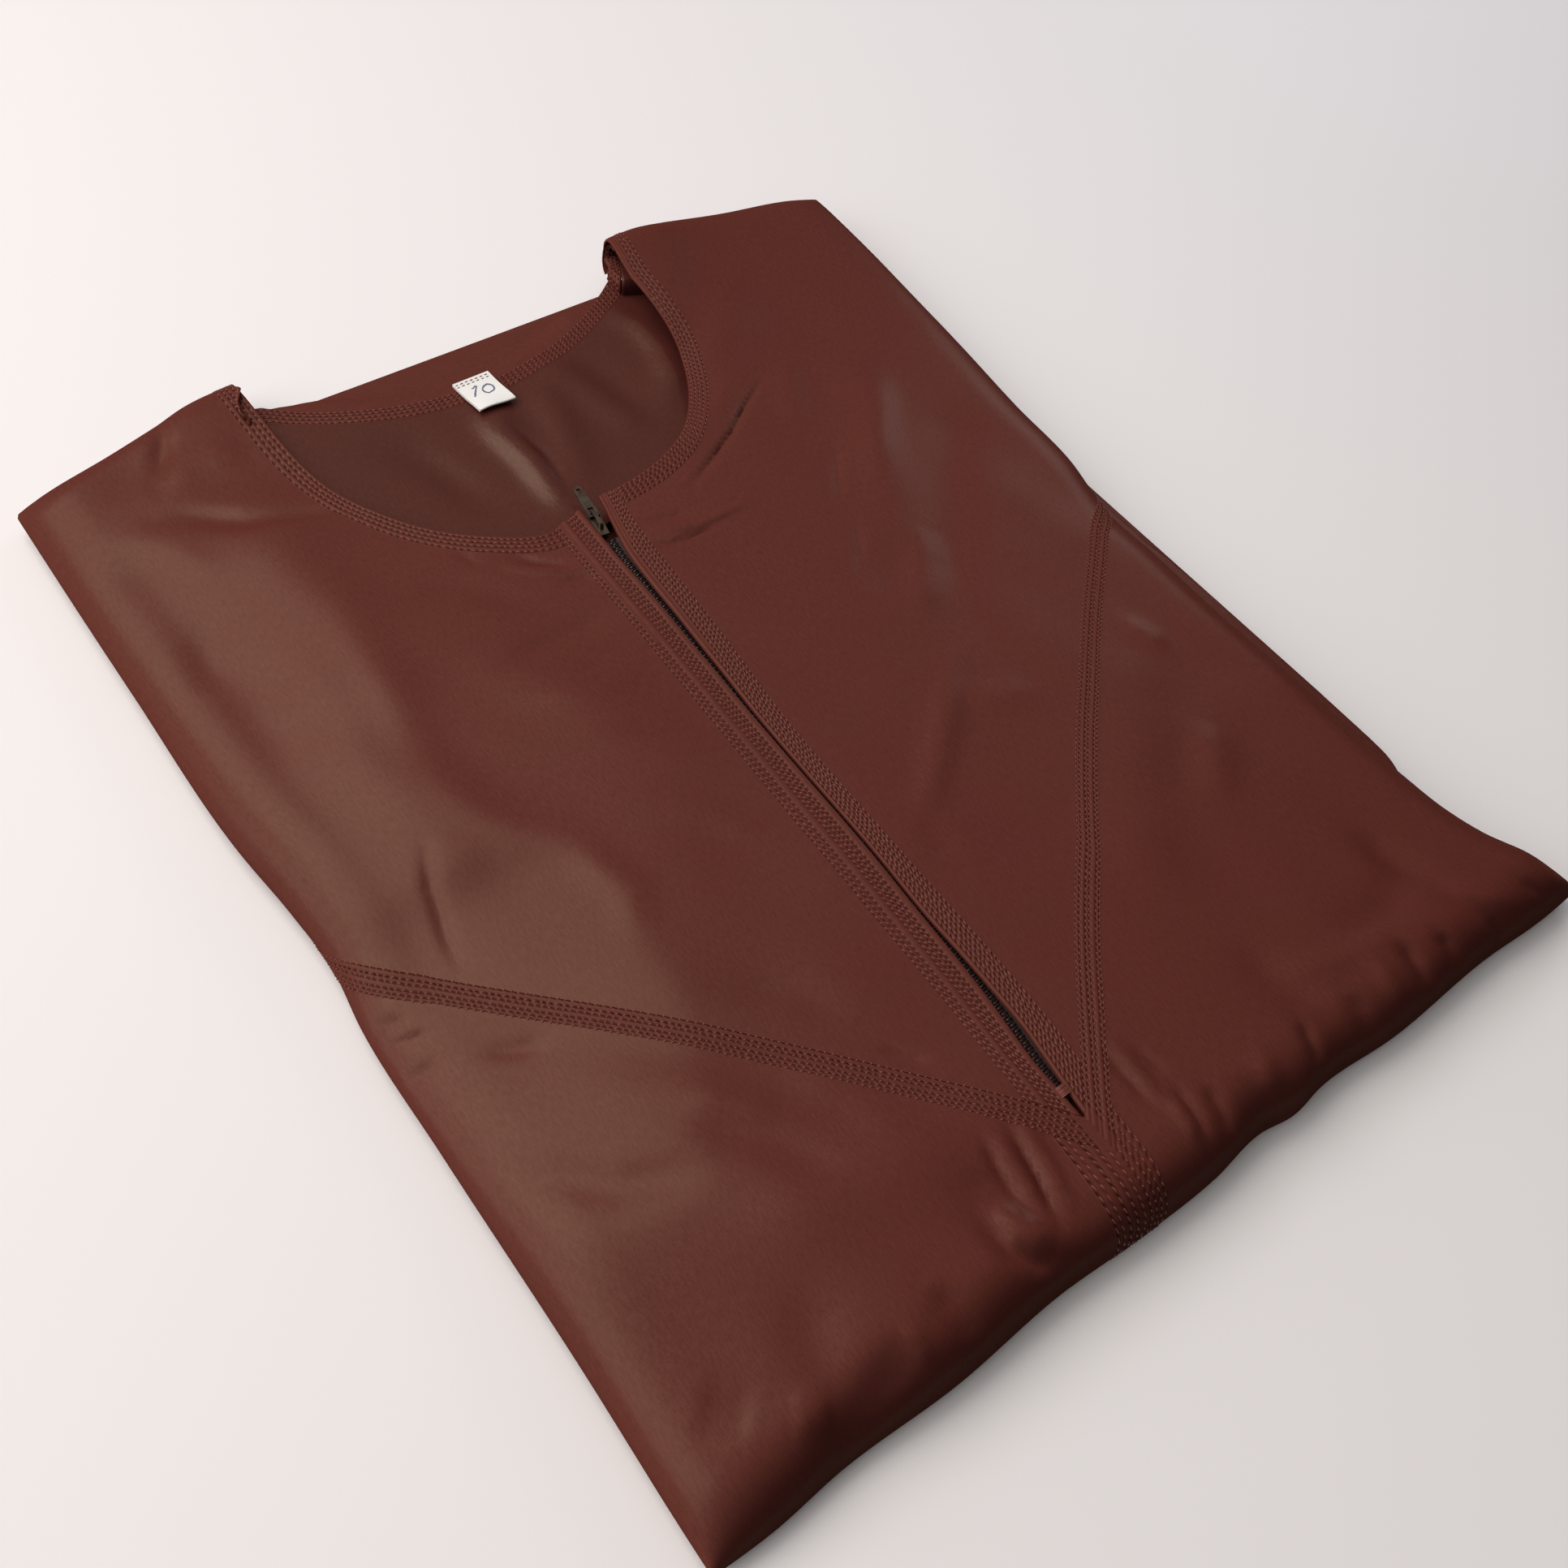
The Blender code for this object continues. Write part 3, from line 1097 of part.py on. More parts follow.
def add_pull(place, along, across):
    """The pull tab: a tapered plate, forked at its root, with a window near its tip."""
    half_root = PULL_ROOT / 2
    half_tip = PULL_TIP / 2
    half_wall = PULL_WALL / 2
    bar = PULL_BAR / 2
    slot = PULL_SLOT / 2
    window = half_tip - 0.9
    work = bmesh.new()
    outer = [(-half_root, -bar), (half_root, -bar), (half_root, 5.0), (half_tip, PULL_LENGTH - 0.9),
             (half_tip - 0.9, PULL_LENGTH), (-half_tip + 0.9, PULL_LENGTH), (-half_tip, PULL_LENGTH - 0.9),
             (-half_root, 5.0)]
    holes = [
        [(-slot, bar), (slot, bar), (slot, bar + PULL_SLOT_LENGTH), (-slot, bar + PULL_SLOT_LENGTH)],
        [(-window, PULL_LENGTH - 4.2), (window, PULL_LENGTH - 4.2), (window, PULL_LENGTH - 1.5),
         (-window, PULL_LENGTH - 1.5)],
    ]
    loops = [outer] + holes
    points = [Vector(point) for loop in loops for point in loop]
    edges = []
    start = 0
    for loop in loops:
        edges += [(start + i, start + (i + 1) % len(loop)) for i in range(len(loop))]
        start += len(loop)
    verts, _, faces, _, _, _ = delaunay_2d_cdt(points, edges, [], 1, 1e-5)
    flat = np.array([tuple(vert) for vert in verts])
    low = [work.verts.new((x, y, -half_wall)) for x, y in flat]
    high = [work.verts.new((x, y, half_wall)) for x, y in flat]
    hole_middles = [np.mean(hole, axis=0) for hole in holes]
    hole_halves = [np.ptp(hole, axis=0) / 2 for hole in holes]
    for a, b, c in faces:
        centre = flat[[a, b, c]].mean(axis=0)
        if any(np.all(np.abs(centre - m) < h) for m, h in zip(hole_middles, hole_halves)):
            continue
        work.faces.new((low[a], low[c], low[b]))
        work.faces.new((high[a], high[b], high[c]))
    for a, b in edges:
        work.faces.new((low[a], low[b], high[b], high[a]))
    finish_solid("zip_pull", work, ZIP_METAL, place, along, across)


def add_label():
    """The size label, hanging from the back neck band, its lower end a little raised."""
    lift = BACK_BAND_WALL + SEAM_GAP
    half = LABEL_WIDTH / 2
    stops = np.linspace(0.0, LABEL_LENGTH, 7)
    turn = np.array([[np.cos(LABEL_TURN), -np.sin(LABEL_TURN)], [np.sin(LABEL_TURN), np.cos(LABEL_TURN)]])

    def turned(x, y):
        return turn @ np.array([x, -y]) + np.array([LABEL_ACROSS, LABEL_TOP])

    outline = [turned(-half, y) for y in stops] + [turned(half, y) for y in stops[::-1]]

    def tilt(points, flat):
        points = points.copy()
        points[:, 2] += LABEL_TILT * ramp(LABEL_TOP - flat[:, 1], 2.0, LABEL_LENGTH)
        return points

    add_wall("size_label", back, outline_of(outline), (lift, lift + LABEL_WALL), LABEL_WHITE, tilt=tilt)


def main():
    clear_scene()
    add_core()
    add_front()
    add_back()
    add_zip()
    add_slider()
    add_label()


main()
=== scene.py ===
# %% [markdown]
# # A folded thobe of brown satin
#
# A thobe is a long robe. This one is folded like a shirt and lies front up, so what shows
# is its chest: two smooth yokes, a round banded neck, a zip in a stitched placket and two
# stitched seams that run down to a V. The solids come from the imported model. This script
# makes the looks: fine cloth shells over the same form, creases, thread, zip teeth,
# finishes, light and the camera.

import bmesh
import bpy
import numpy as np
from mathutils import Matrix, Vector
from mathutils.geometry import delaunay_2d_cdt


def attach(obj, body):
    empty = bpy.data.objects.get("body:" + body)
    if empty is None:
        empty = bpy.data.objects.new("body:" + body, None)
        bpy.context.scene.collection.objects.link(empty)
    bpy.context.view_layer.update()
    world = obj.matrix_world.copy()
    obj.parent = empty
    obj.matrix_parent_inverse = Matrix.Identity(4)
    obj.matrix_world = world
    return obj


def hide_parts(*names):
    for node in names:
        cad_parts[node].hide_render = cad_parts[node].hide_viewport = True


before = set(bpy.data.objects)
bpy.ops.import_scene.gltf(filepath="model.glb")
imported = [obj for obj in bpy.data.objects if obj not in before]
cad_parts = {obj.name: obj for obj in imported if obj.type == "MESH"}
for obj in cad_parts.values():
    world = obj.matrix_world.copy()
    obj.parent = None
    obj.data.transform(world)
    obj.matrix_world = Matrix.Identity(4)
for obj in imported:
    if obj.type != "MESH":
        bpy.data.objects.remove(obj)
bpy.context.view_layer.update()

MM = 0.001

# %% [markdown]
# ## Camera
#
# The photograph looks down at the garment from its lower left, turned a little about the
# line of sight. The lens is worked out from how fast the two long edges draw together. A
# camera in Blender looks along its own -Z axis, so its three columns are right, up and back.

# %% Place the camera
IMAGE_SIDE = 1932
FOCAL_PIXELS = 2005.1
SENSOR_WIDTH = 36.0
EYE = Vector((-0.27026, -0.28189, 0.47491))
LOOK_AT = Vector((-0.01825, -0.03750, 0.0))
ROLL = np.radians(10.738)

gaze = (LOOK_AT - EYE).normalized()
level = gaze.cross(Vector((0, 0, 1))).normalized()
upright = level.cross(gaze)
right = level * np.cos(ROLL) + upright * np.sin(ROLL)
up = upright * np.cos(ROLL) - level * np.sin(ROLL)
camera_data = bpy.data.cameras.new("photo_camera")
camera_data.sensor_width = SENSOR_WIDTH
camera_data.lens = SENSOR_WIDTH * FOCAL_PIXELS / IMAGE_SIDE
camera_data.clip_start = 0.01
camera = bpy.data.objects.new("photo_camera", camera_data)
turn = Matrix((right, up, -gaze)).transposed().to_4x4()
camera.matrix_world = Matrix.Translation(EYE) @ turn
bpy.context.scene.collection.objects.link(camera)
bpy.context.scene.camera = camera
bpy.context.scene.view_settings.view_transform = "Standard"
print("lens", round(camera_data.lens, 2), "mm, look down", round(float(np.degrees(np.arcsin(-gaze.z))), 1))

# %% [markdown]
# ## Floor and light
#
# The garment lies on a pale plain surface under soft room light. One large panel behind and
# to the left draws the long soft sheen on the left side. A wide one at the left stands for a
# window and lights the shoulder and the floor. A small cool one far back at the right gives
# the bluish patches on the right side. The world is a dim room whose ceiling is brighter
# towards the left and the back, so the bottom fold stays in shade.

# %% Make the floor, the world and the panels
FLOOR_HALF = 3.0


def plain_material(name, colour, roughness):
    material = bpy.data.materials.new(name)
    material.use_nodes = True
    shader = material.node_tree.nodes["Principled BSDF"]
    shader.inputs["Base Color"].default_value = (*colour, 1.0)
    shader.inputs["Roughness"].default_value = roughness
    shader.inputs["Specular IOR Level"].default_value = 0.2
    return material


def add_floor():
    corners = [(-1, -1), (1, -1), (1, 1), (-1, 1)]
    mesh = bpy.data.meshes.new("floor")
    mesh.from_pydata([(x * FLOOR_HALF, y * FLOOR_HALF, 0.0) for x, y in corners], [], [(0, 1, 2, 3)])
    mesh.materials.append(plain_material("pale_floor", (0.82, 0.795, 0.785), 0.6))
    floor = bpy.data.objects.new("floor", mesh)
    bpy.context.scene.collection.objects.link(floor)


def add_panel(name, place, target, size, power, colour):
    light = bpy.data.lights.new(name, "AREA")
    light.shape = "RECTANGLE"
    light.size, light.size_y = size
    light.energy = power
    light.color = colour
    lamp = bpy.data.objects.new(name, light)
    lamp.location = place
    lamp.rotation_euler = (Vector(target) - Vector(place)).to_track_quat("-Z", "Y").to_euler()
    bpy.context.scene.collection.objects.link(lamp)


def add_world(colour, low, high, toward):
    """A dim room, brighter towards one side of the ceiling."""
    world = bpy.data.worlds.new("room")
    bpy.context.scene.world = world
    world.use_nodes = True
    nodes, links = world.node_tree.nodes, world.node_tree.links
    background = nodes["Background"]
    background.inputs["Color"].default_value = (*colour, 1.0)
    direction = nodes.new("ShaderNodeTexCoord")
    facing = nodes.new("ShaderNodeVectorMath")
    facing.operation = "DOT_PRODUCT"
    facing.inputs[1].default_value = Vector(toward).normalized()
    glow = nodes.new("ShaderNodeMapRange")
    glow.interpolation_type = "SMOOTHSTEP"
    glow.inputs["From Min"].default_value = -0.2
    glow.inputs["To Min"].default_value = low
    glow.inputs["To Max"].default_value = high
    links.new(direction.outputs["Generated"], facing.inputs[0])
    links.new(facing.outputs["Value"], glow.inputs["Value"])
    links.new(glow.outputs["Result"], background.inputs["Strength"])


add_floor()
add_world((1.0, 0.98, 0.97), 0.03, 0.66, (-0.5, 0.55, 0.67))
add_panel("sheen_panel", (-0.36, 0.86, 1.25), (-0.28, 0.35, 0.0), (0.85, 1.3), 11.3, (1.0, 0.935, 0.9))
add_panel("window_left", (-1.15, 0.25, 0.95), (-0.05, 0.0, 0.0), (1.3, 1.3), 10.5, (1.0, 0.95, 0.93))
add_panel("window_back", (1.2, 0.62, 0.66), (0.09, 0.0, 0.0), (0.4, 0.4), 2.6, (0.76, 0.8, 1.0))
print("floor, room and three panels")

# %% [markdown]
# ## The form of the cloth
#
# All the cloth is worked out on one form. A place on it has two flat coordinates in
# millimetres, across and along, as on the cut pieces before folding. Past the garment's
# edge the same coordinates go round the fold and under. Everything sewn on, thread and zip
# included, uses the same form, so nothing floats or sinks.

# %% Sizes of the folded garment, in millimetres
# flat size, and the point of the form that lies over the middle of the frame
HALF_WIDTH, LENGTH = 195.0, 450.0
MIDDLE = np.array([-1.62, 234.68, 0.0])
# at each side: how far in the fold starts, and the cloth's length over its upper quarter
ROLL_IN = {"left": 22.0, "right": 16.0, "bottom": 20.0, "top": 12.0}
QUARTER_LENGTH = {"left": 27.8, "right": 19.0, "bottom": 25.6, "top": 14.9}
CRESTS = {"left": ROLL_IN["left"] - HALF_WIDTH, "right": HALF_WIDTH - ROLL_IN["right"],
          "bottom": ROLL_IN["bottom"], "top": LENGTH - ROLL_IN["top"]}
QUARTER = np.pi / 2
# how far back in the cloth runs below the fold, and how far round it goes: along a
# side, at the point of a corner and where the mitre starts
TUCK = 8.0
SHELL_TURN, CORNER_TURN, MITRE_TURN = np.radians([165.0, 84.0, 38.0])
# height of the top for places along; the tables below are (place, amount) too
HEIGHTS = [
    (-40, 22.4), (0, 22.8), (70, 23.4), (220, 22.8), (340, 21.6), (400, 20.4), (450, 18.6), (490, 18.2),
]
# height of the fold's outermost line: left, middle and right, at the bottom,
# half way and at the top
TURN_HEIGHTS = [(6, 12, 10), (6.5, 14, 17.4), (8, 16, 15.5)]
BOTTOM_TURN_HEIGHT = 5.2
BOTTOM_TURN_REACH = (4.0, 36.0)
BOTTOM_SQUARENESS, BOTTOM_SQUARE_REACH = 0.4, (-170.0, -60.0)
# the line along which the left side starts to fall, how steeply, and how softly
LEFT_CREST = [
    (-30, -118), (40, -124), (88, -137), (122, -117), (170, -105), (202, -108), (225, -126), (250, -136),
    (290, -127), (340, -119), (390, -120), (450, -112),
]
LEFT_SLOPES = [(-30.0, 0.09), (380.0, 0.09), (450.0, 0.04)]
LEFT_CREST_WIDTH = 6.0
# the narrow rim that rises again beside the left edge
LEFT_RIM = [
    (-30, -180), (40, -179), (100, -179), (160, -184), (205, -172), (270, -172), (340, -172), (400, -178),
    (450, -184),
]
RIM_RISE = 1.25
# height of the cloth turned under, on the floor and on the folded layers
UNDER_FLOOR, UNDER_ON_LAYERS = 1.4, 12.0
# how far each outer edge is drawn in or out from a straight line
RIGHT_SIDE = [
    (-30, -3), (0, -3.5), (6, -7), (18, -12.5), (31, -20.5), (45, -25), (66, -27.5), (90, -28.5),
    (120, -29), (165, -30.5), (200, -30), (222, -30.5), (236, -27.5), (254, -23), (292, -20), (333, -15),
    (380, -10), (411, -6.5), (450, -3.5), (490, -3),
]
LEFT_SIDE = [
    (-30, -1), (20, -1.2), (60, -2.2), (140, -2.6), (190, -3.2), (214, -6), (240, -4.8), (270, -1.8),
    (350, -1), (450, -1.2), (490, -1.5),
]
SHOULDERS = [
    (-200, -2), (-176, 3), (-153, 8), (-134, 13), (-118, 18), (-99, 20), (-60, 17), (40, 15), (79, 16.5),
    (100, 19), (116, 18.5), (146, 14), (180, 8.5), (200, 2),
]
BOTTOM_FOLD = [
    (-200, 0), (-176, 0.8), (-152, -0.6), (-110, 0.8), (-65, -1), (-40, 0.2), (0, 0.6), (24, -1.6),
    (38, 0.4), (53, -1.2), (90, 0.8), (144, -0.4), (176, 1), (200, 0.4),
]
# the neck: how deep its front edge dips across, and how its ends run to the shoulders
NECK_MIDDLE, NECK_HALF_WIDTH, NECK_TOP = -11.0, 86.0, 425.0
NECK_DROPS = [
    (-110, 99), (-60, 99), (-33, 98), (-20, 91.5), (-9, 89), (5, 89.8), (25, 92), (45, 94.6), (90, 95),
]
NECK_ENDS = [(425, 0, 0), (438, 0, 3.6), (446, 0, 6.2), (453, 0.5, 6.6), (460, 1, 4), (480, 1, 0)]
# the raised cloth beside the neck on the right, and the dip of the left neck edge
ARCH = {"across": 82.0, "along": 385.0, "reach": 40.0, "rise": 8.6, "turn_rise": 4.6}
LEFT_DIP, LEFT_DIP_REACH = 2.4, 0.35
# the drawn-in edges take cloth with them as far in as this from the middle line
PULL_FROM = 40.0
NECK_BAND, SEAM_BAND = 9.5, 9.0
WALL, BAND_WALL = 1.2, 1.45
print("folded size", 2 * HALF_WIDTH, "by", LENGTH, "mm")

# %% Curves through short tables, and soft steps


def smooth(table, value):
    """A smooth curve through a table of (place, amount) rows."""
    place, amount = np.asarray(table, dtype=float)[:, :2].T
    slope = np.gradient(amount, place)
    value = np.clip(value, place[0], place[-1])
    index = np.clip(np.searchsorted(place, value) - 1, 0, len(place) - 2)
    span = place[index + 1] - place[index]
    t = (value - place[index]) / span
    start = amount[index] * (1 + 2 * t) * (1 - t) ** 2 + span * slope[index] * t * (1 - t) ** 2
    end = amount[index + 1] * t * t * (3 - 2 * t) + span * slope[index + 1] * t * t * (t - 1)
    return start + end


def ramp(value, low, high):
    """0 below low, 1 above high and a soft step between."""
    t = np.clip((value - low) / (high - low), 0.0, 1.0)
    return t * t * (3 - 2 * t)


def bell(value, reach):
    """1 at zero, fading softly both ways."""
    return np.exp(-((value / reach) ** 2))


def unit(vectors):
    """Vectors brought to length 1."""
    return vectors / np.linalg.norm(vectors, axis=-1, keepdims=True)


def run_along(points):
    """How far along a polyline each of its points lies."""
    return np.concatenate([[0.0], np.cumsum(np.linalg.norm(np.diff(points, axis=0), axis=1))])


def signed_area(outline):
    """The area of a closed flat outline, positive where it runs anticlockwise."""
    following = np.roll(outline, -1, axis=0)
    return 0.5 * np.sum(outline[:, 0] * following[:, 1] - following[:, 0] * outline[:, 1])


def folds(rows, x, y):
    """Heights of soft folds, each along a short line and fading past its ends."""
    total = np.zeros_like(x)
    for x0, y0, x1, y1, half_width, height in rows:
        dx, dy = x1 - x0, y1 - y0
        length = np.hypot(dx, dy)
        along = ((x - x0) * dx + (y - y0) * dy) / length
        aside = ((x - x0) * dy - (y - y0) * dx) / length
        past = np.maximum(np.maximum(-along, along - length), 0.0)
        total += height * bell(aside, half_width) * bell(past, half_width * 1.3)
    return total


def bent_folds(rows, x, y):
    """Heights of creases along bent lines, each fading at its ends."""
    total = np.zeros_like(x)
    for half_width, height, *stops in rows:
        stops = np.array(stops, dtype=float)
        low, high = stops.min(axis=0) - 3 * half_width, stops.max(axis=0) + 3 * half_width
        near = np.nonzero((x > low[0]) & (x < high[0]) & (y > low[1]) & (y < high[1]))
        place = np.stack([x[near], y[near]], axis=-1)
        away, share, run = np.full(len(place), 1e9), np.zeros(len(place)), 0.0
        for start, end in zip(stops[:-1], stops[1:]):
            side = end - start
            length = np.hypot(*side)
            along = np.clip((place - start) @ side / length ** 2, 0.0, 1.0)
            off = np.linalg.norm(place - start - along[:, None] * side, axis=1)
            share = np.where(off < away, run + along * length, share)
            away = np.minimum(off, away)
            run += length
        fade = ramp(np.minimum(share, run - share), -0.15 * run, 0.35 * run)
        total[near] += height * fade * bell(away, half_width)
    return total


def ripple(x, y):
    """The slow uneven waves of cloth that isn't pulled flat."""
    slow = np.sin(x / 17.0 + 1.3 * np.sin(y / 43.0)) * np.sin(y / 31.0 + 0.9 * np.sin(x / 24.0))
    quick = np.sin((x + y) / 10.5 + np.sin(y / 19.0)) * np.sin((x - 0.6 * y) / 13.0 + 1.7)
    return 0.34 * slow + 0.13 * quick


print("a soft step half way up:", ramp(0.5, 0.0, 1.0))

# %% [markdown]
# ## Creases
#
# Satin shows every bend, because its sheen changes with the slope. The broad folds are in
# the solids too, each a straight row: start, end, half width and height. The fine creases
# are added here. Each of their rows has a half width, a height (troughs are negative) and
# the places that the crease runs through. They fan out from the stitched seams, run along
# the sides and pucker the bottom fold, as cloth does where a seam is shorter than the cloth
# beside it. Noise could make creases too, but they would lie in the wrong places.

# %% Folds and creases of the front
FRONT_FOLDS = [
    (-150, 432, -78, 392, 15, -1.9), (-172, 388, -160, 300, 12, -1.2), (-128, 372, -126, 300, 16, 1.2),
    (-150, 300, -146, 225, 13, 1.3), (-96, 300, -60, 220, 18, 1), (110, 420, 66, 385, 10, -1.2),
    (128, 330, 88, 262, 14, 1.3), (150, 292, 96, 236, 13, -1.1), (120, 150, 60, 96, 16, 1.1),
    (-150, 150, -84, 84, 15, -1.2), (-120, 60, -62, 50, 15, 1.2), (-70, 30, -52, 14, 10, -1.4),
    (146, 46, 150, 4, 8, -1.6), (60, 36, 66, 4, 9, -1.2), (-140, 30, -146, 4, 9, -1.2),
]
CREASES = [
    # half width, height, and the places that the crease runs through
    # right yoke: one long fine crease below a swell, and the soft swells that catch the cooler light
    (1.5, -1.2, (92, 358.6), (75, 349), (58.3, 338), (40, 329), (23.6, 320.5)),
    (6, 0.8, (86, 368), (60, 352), (30, 335)), (8, 1, (142, 335), (122, 310), (101, 286)),
    (9, 1.3, (101, 253), (84, 236), (64, 221)), (6, 1.15, (58, 197), (38, 180), (16, 161), (-6, 143)),
    (7, 0.7, (48, 180), (64, 173), (80, 168)), (6.5, 0.9, (144, 176), (148, 166), (152, 156)),
    (9, 1.2, (136, 121), (120, 108), (103, 96)), (7, 0.7, (112, 364), (100, 348), (87, 329)),
    (2.2, -0.5, (96, 311), (85, 296), (75, 284)), (2.2, -0.5, (74, 272), (66, 261), (56, 249)),
    (9, -0.6, (92, 262), (70, 243), (52, 236)), (6, -0.6, (4, 152), (-3, 141), (-4, 127)),
    # small creases that fan out from the neck beside the placket
    (2, 0.8, (-4, 308.6), (15, 302.5), (40, 302)), (1.6, -0.9, (-8, 304.8), (1, 299.2), (19, 297.5)),
    (1.5, -0.6, (-3, 315.6), (16, 309.5)), (1.8, -0.9, (-54.8, 327.3), (-47, 318.2), (-38.4, 312)),
    (1.6, 0.6, (-60, 324), (-50, 315.5), (-41, 309)), (1.8, -0.8, (-45.9, 305.9), (-32.8, 301.3)),
    (5.5, -0.9, (-84, 280.4), (-58, 281.6), (-36, 282.2)), (2, -0.5, (-71, 339), (-66.6, 329)),
    (7, -0.7, (-96, 330), (-78, 322), (-60, 300)), (6, 0.5, (-86, 262), (-62, 254), (-40, 256)),
    (5, -0.5, (-70, 236), (-52, 226), (-34, 222)), (6, 0.5, (-76, 200), (-62, 190), (-50, 170)),
    # left shoulder
    (5, -1.6, (-156, 410), (-146, 406), (-129, 394), (-107, 386), (-92, 379)),
    (8, 1.5, (-150, 424), (-132, 424), (-110, 421)), (4, -1.2, (-129.6, 450), (-136.5, 438), (-147, 424)),
    (8, -0.7, (-150, 361), (-167, 348), (-177, 328)), (7, 0.6, (-176, 414), (-158, 396), (-150, 376)),
    # left side: the crest where the sheen ends, and the creases above the slanting seam
    (9, 0.7, (-120, 335), (-124, 311), (-127, 284), (-131, 256), (-130, 234), (-124, 216), (-109, 203)),
    (7, 0.8, (-109, 203), (-102, 179), (-110, 162)),
    (2.6, -0.9, (-150, 232), (-157, 216), (-160, 200), (-161, 187)),
    (7, -0.5, (-158, 330), (-150, 305), (-152, 280)),
    # notches of the left edge below the slanting seam
    (2.4, -1.2, (-195, 187.5), (-184, 181)), (2.2, -1, (-194, 178.4), (-180, 173)),
    (2.4, -0.9, (-194, 164.5), (-183, 163)), (3, -0.6, (-170, 158), (-160, 152), (-152, 150)),
    # lower left
    (7, -1.1, (-186, 130), (-176, 112), (-161, 97), (-148, 91), (-134, 86)),
    (7, -0.8, (-134, 104), (-118, 84), (-104, 60)), (6, 0.7, (-128, 110), (-117, 98), (-108, 88)),
    (8, 0.7, (-100, 100), (-86, 82), (-80, 60)), (7, -0.6, (-96, 132), (-80, 118), (-70, 100)),
    # around the foot of the zip
    (2, -0.7, (-69, 88), (-64, 81), (-59, 75)), (2.3, 1.1, (-58.6, 46), (-59.5, 31), (-61.4, 18)),
    (2, 1, (-49, 45), (-50.2, 33), (-52.5, 17)), (1.7, -1.1, (-53.3, 45), (-56, 29), (-59.8, 13)),
    (1.8, -0.9, (-63, 46), (-65, 33), (-66, 24)), (1.8, 0.9, (-6.2, 48), (-6, 24)),
    (1.6, -0.8, (-10.4, 46), (-9.8, 24)), (2, 1, (-3.8, 24), (-5.3, 9)),
    (1.8, -0.9, (0.5, 26), (-1.5, 8)), (1.6, -0.7, (-1, 44), (1.5, 30)),
    # puckers of the bottom fold, close together near the middle
    (3.4, -1.8, (-80, 28), (-78, 16), (-73.6, 9), (-65, 3)), (4.2, 1.5, (-73, 30), (-70.4, 19), (-64, 9)),
    (7.5, -1.9, (-160, -8), (-146, 1), (-132, 8), (-114, 14)), (8, -0.9, (-178, 34), (-166, 22)),
    (6, 1, (-158, 17), (-148, 10)), (2.6, 0.7, (-117, 18), (-117, 6)), (6, -1.4, (-104, 22), (-101, 2)),
    (3.6, -1.9, (111, 20), (105, 0)), (3.2, -1.7, (126, 14), (122, 0)), (3, -1.6, (148, 8), (149, -4)),
    (3, -1.4, (54, 18), (49, 2)), (3, -1.4, (9, 20), (7, 4)), (4.5, 1, (96, 20), (92, 2)),
    (4, 0.9, (32, 18), (28, 4)), (4.5, -1.1, (78, 16), (74, 0)), (5, 0.9, (147, 26), (159, 5)),
    (3, -1.2, (172, 12), (176, -4)), (8, -1, (150, 40), (120, 30), (96, 34)),
    (6, 0.7, (60, 34), (90, 26), (118, 20)),
]
print("broad folds:", len(FRONT_FOLDS), "creases:", len(CREASES))

# %% [markdown]
# ## The surface of the front
#
# A folded edge is a quarter of a roll over the side and then a stretch turned under. The
# form is made the same way: each flat coordinate that runs past a crest is bent round the
# roll, so cloth is neither stretched nor lost at the fold. The outline of the photo is then
# given by drawing the sides in and out. A few formulas do all of it, so any seam, stitch or
# tooth can be placed on the cloth by its flat coordinates alone.

# %% The surface of the front, from flat coordinates


def over_sides(rows, x, y):
    """A value at three places across for three places along, joined by parabolas."""
    s, t = x / HALF_WIDTH, 2 * y / LENGTH - 1
    weights_x = (s * (s - 1) / 2, 1 - s * s, s * (s + 1) / 2)
    weights_y = (t * (t - 1) / 2, 1 - t * t, t * (t + 1) / 2)
    return sum(amount * wx * wy for row, wy in zip(rows, weights_y) for amount, wx in zip(row, weights_x))


def neck_reach(x, y):
    """Distance from the middle of the neck, 1 on the front neck edge."""
    down = np.maximum(NECK_TOP - y, 0.0) / smooth(NECK_DROPS, x)
    return np.hypot((x - NECK_MIDDLE) / NECK_HALF_WIDTH, down)


def arch(x, y):
    """Share of the raised arch beside the neck."""
    return bell(x - ARCH["across"], ARCH["reach"]) * ramp(y, ARCH["along"] - 30.0, ARCH["along"] + 60.0)


def left_fall(x, y):
    """How far the left side has dropped past its crest line, before it rises to the rim again."""
    past, rim = smooth(LEFT_CREST, y) - x, smooth(LEFT_RIM, y) - x
    fall, rise = (0.5 * (side + np.sqrt(side**2 + LEFT_CREST_WIDTH**2)) for side in (past, rim))
    return smooth(LEFT_SLOPES, y) * (fall - RIM_RISE * rise)


def front_height(x, y):
    """Height of the front where it lies flat, folds and creases included."""
    height = smooth(HEIGHTS, y) - left_fall(x, y) + ARCH["rise"] * arch(x, y)
    height = height - LEFT_DIP * ramp(-x, -20.0, 40.0) * bell(neck_reach(x, y) - 1.0, LEFT_DIP_REACH)
    return height + folds(FRONT_FOLDS, x, y) + bent_folds(CREASES, x, y) + ripple(x, y)


def turn_height(x, y):
    """Height of the outermost line of the side folds."""
    height = over_sides(TURN_HEIGHTS, x, y) + ARCH["turn_rise"] * arch(x, y)
    return BOTTOM_TURN_HEIGHT + (height - BOTTOM_TURN_HEIGHT) * ramp(y, *BOTTOM_TURN_REACH)


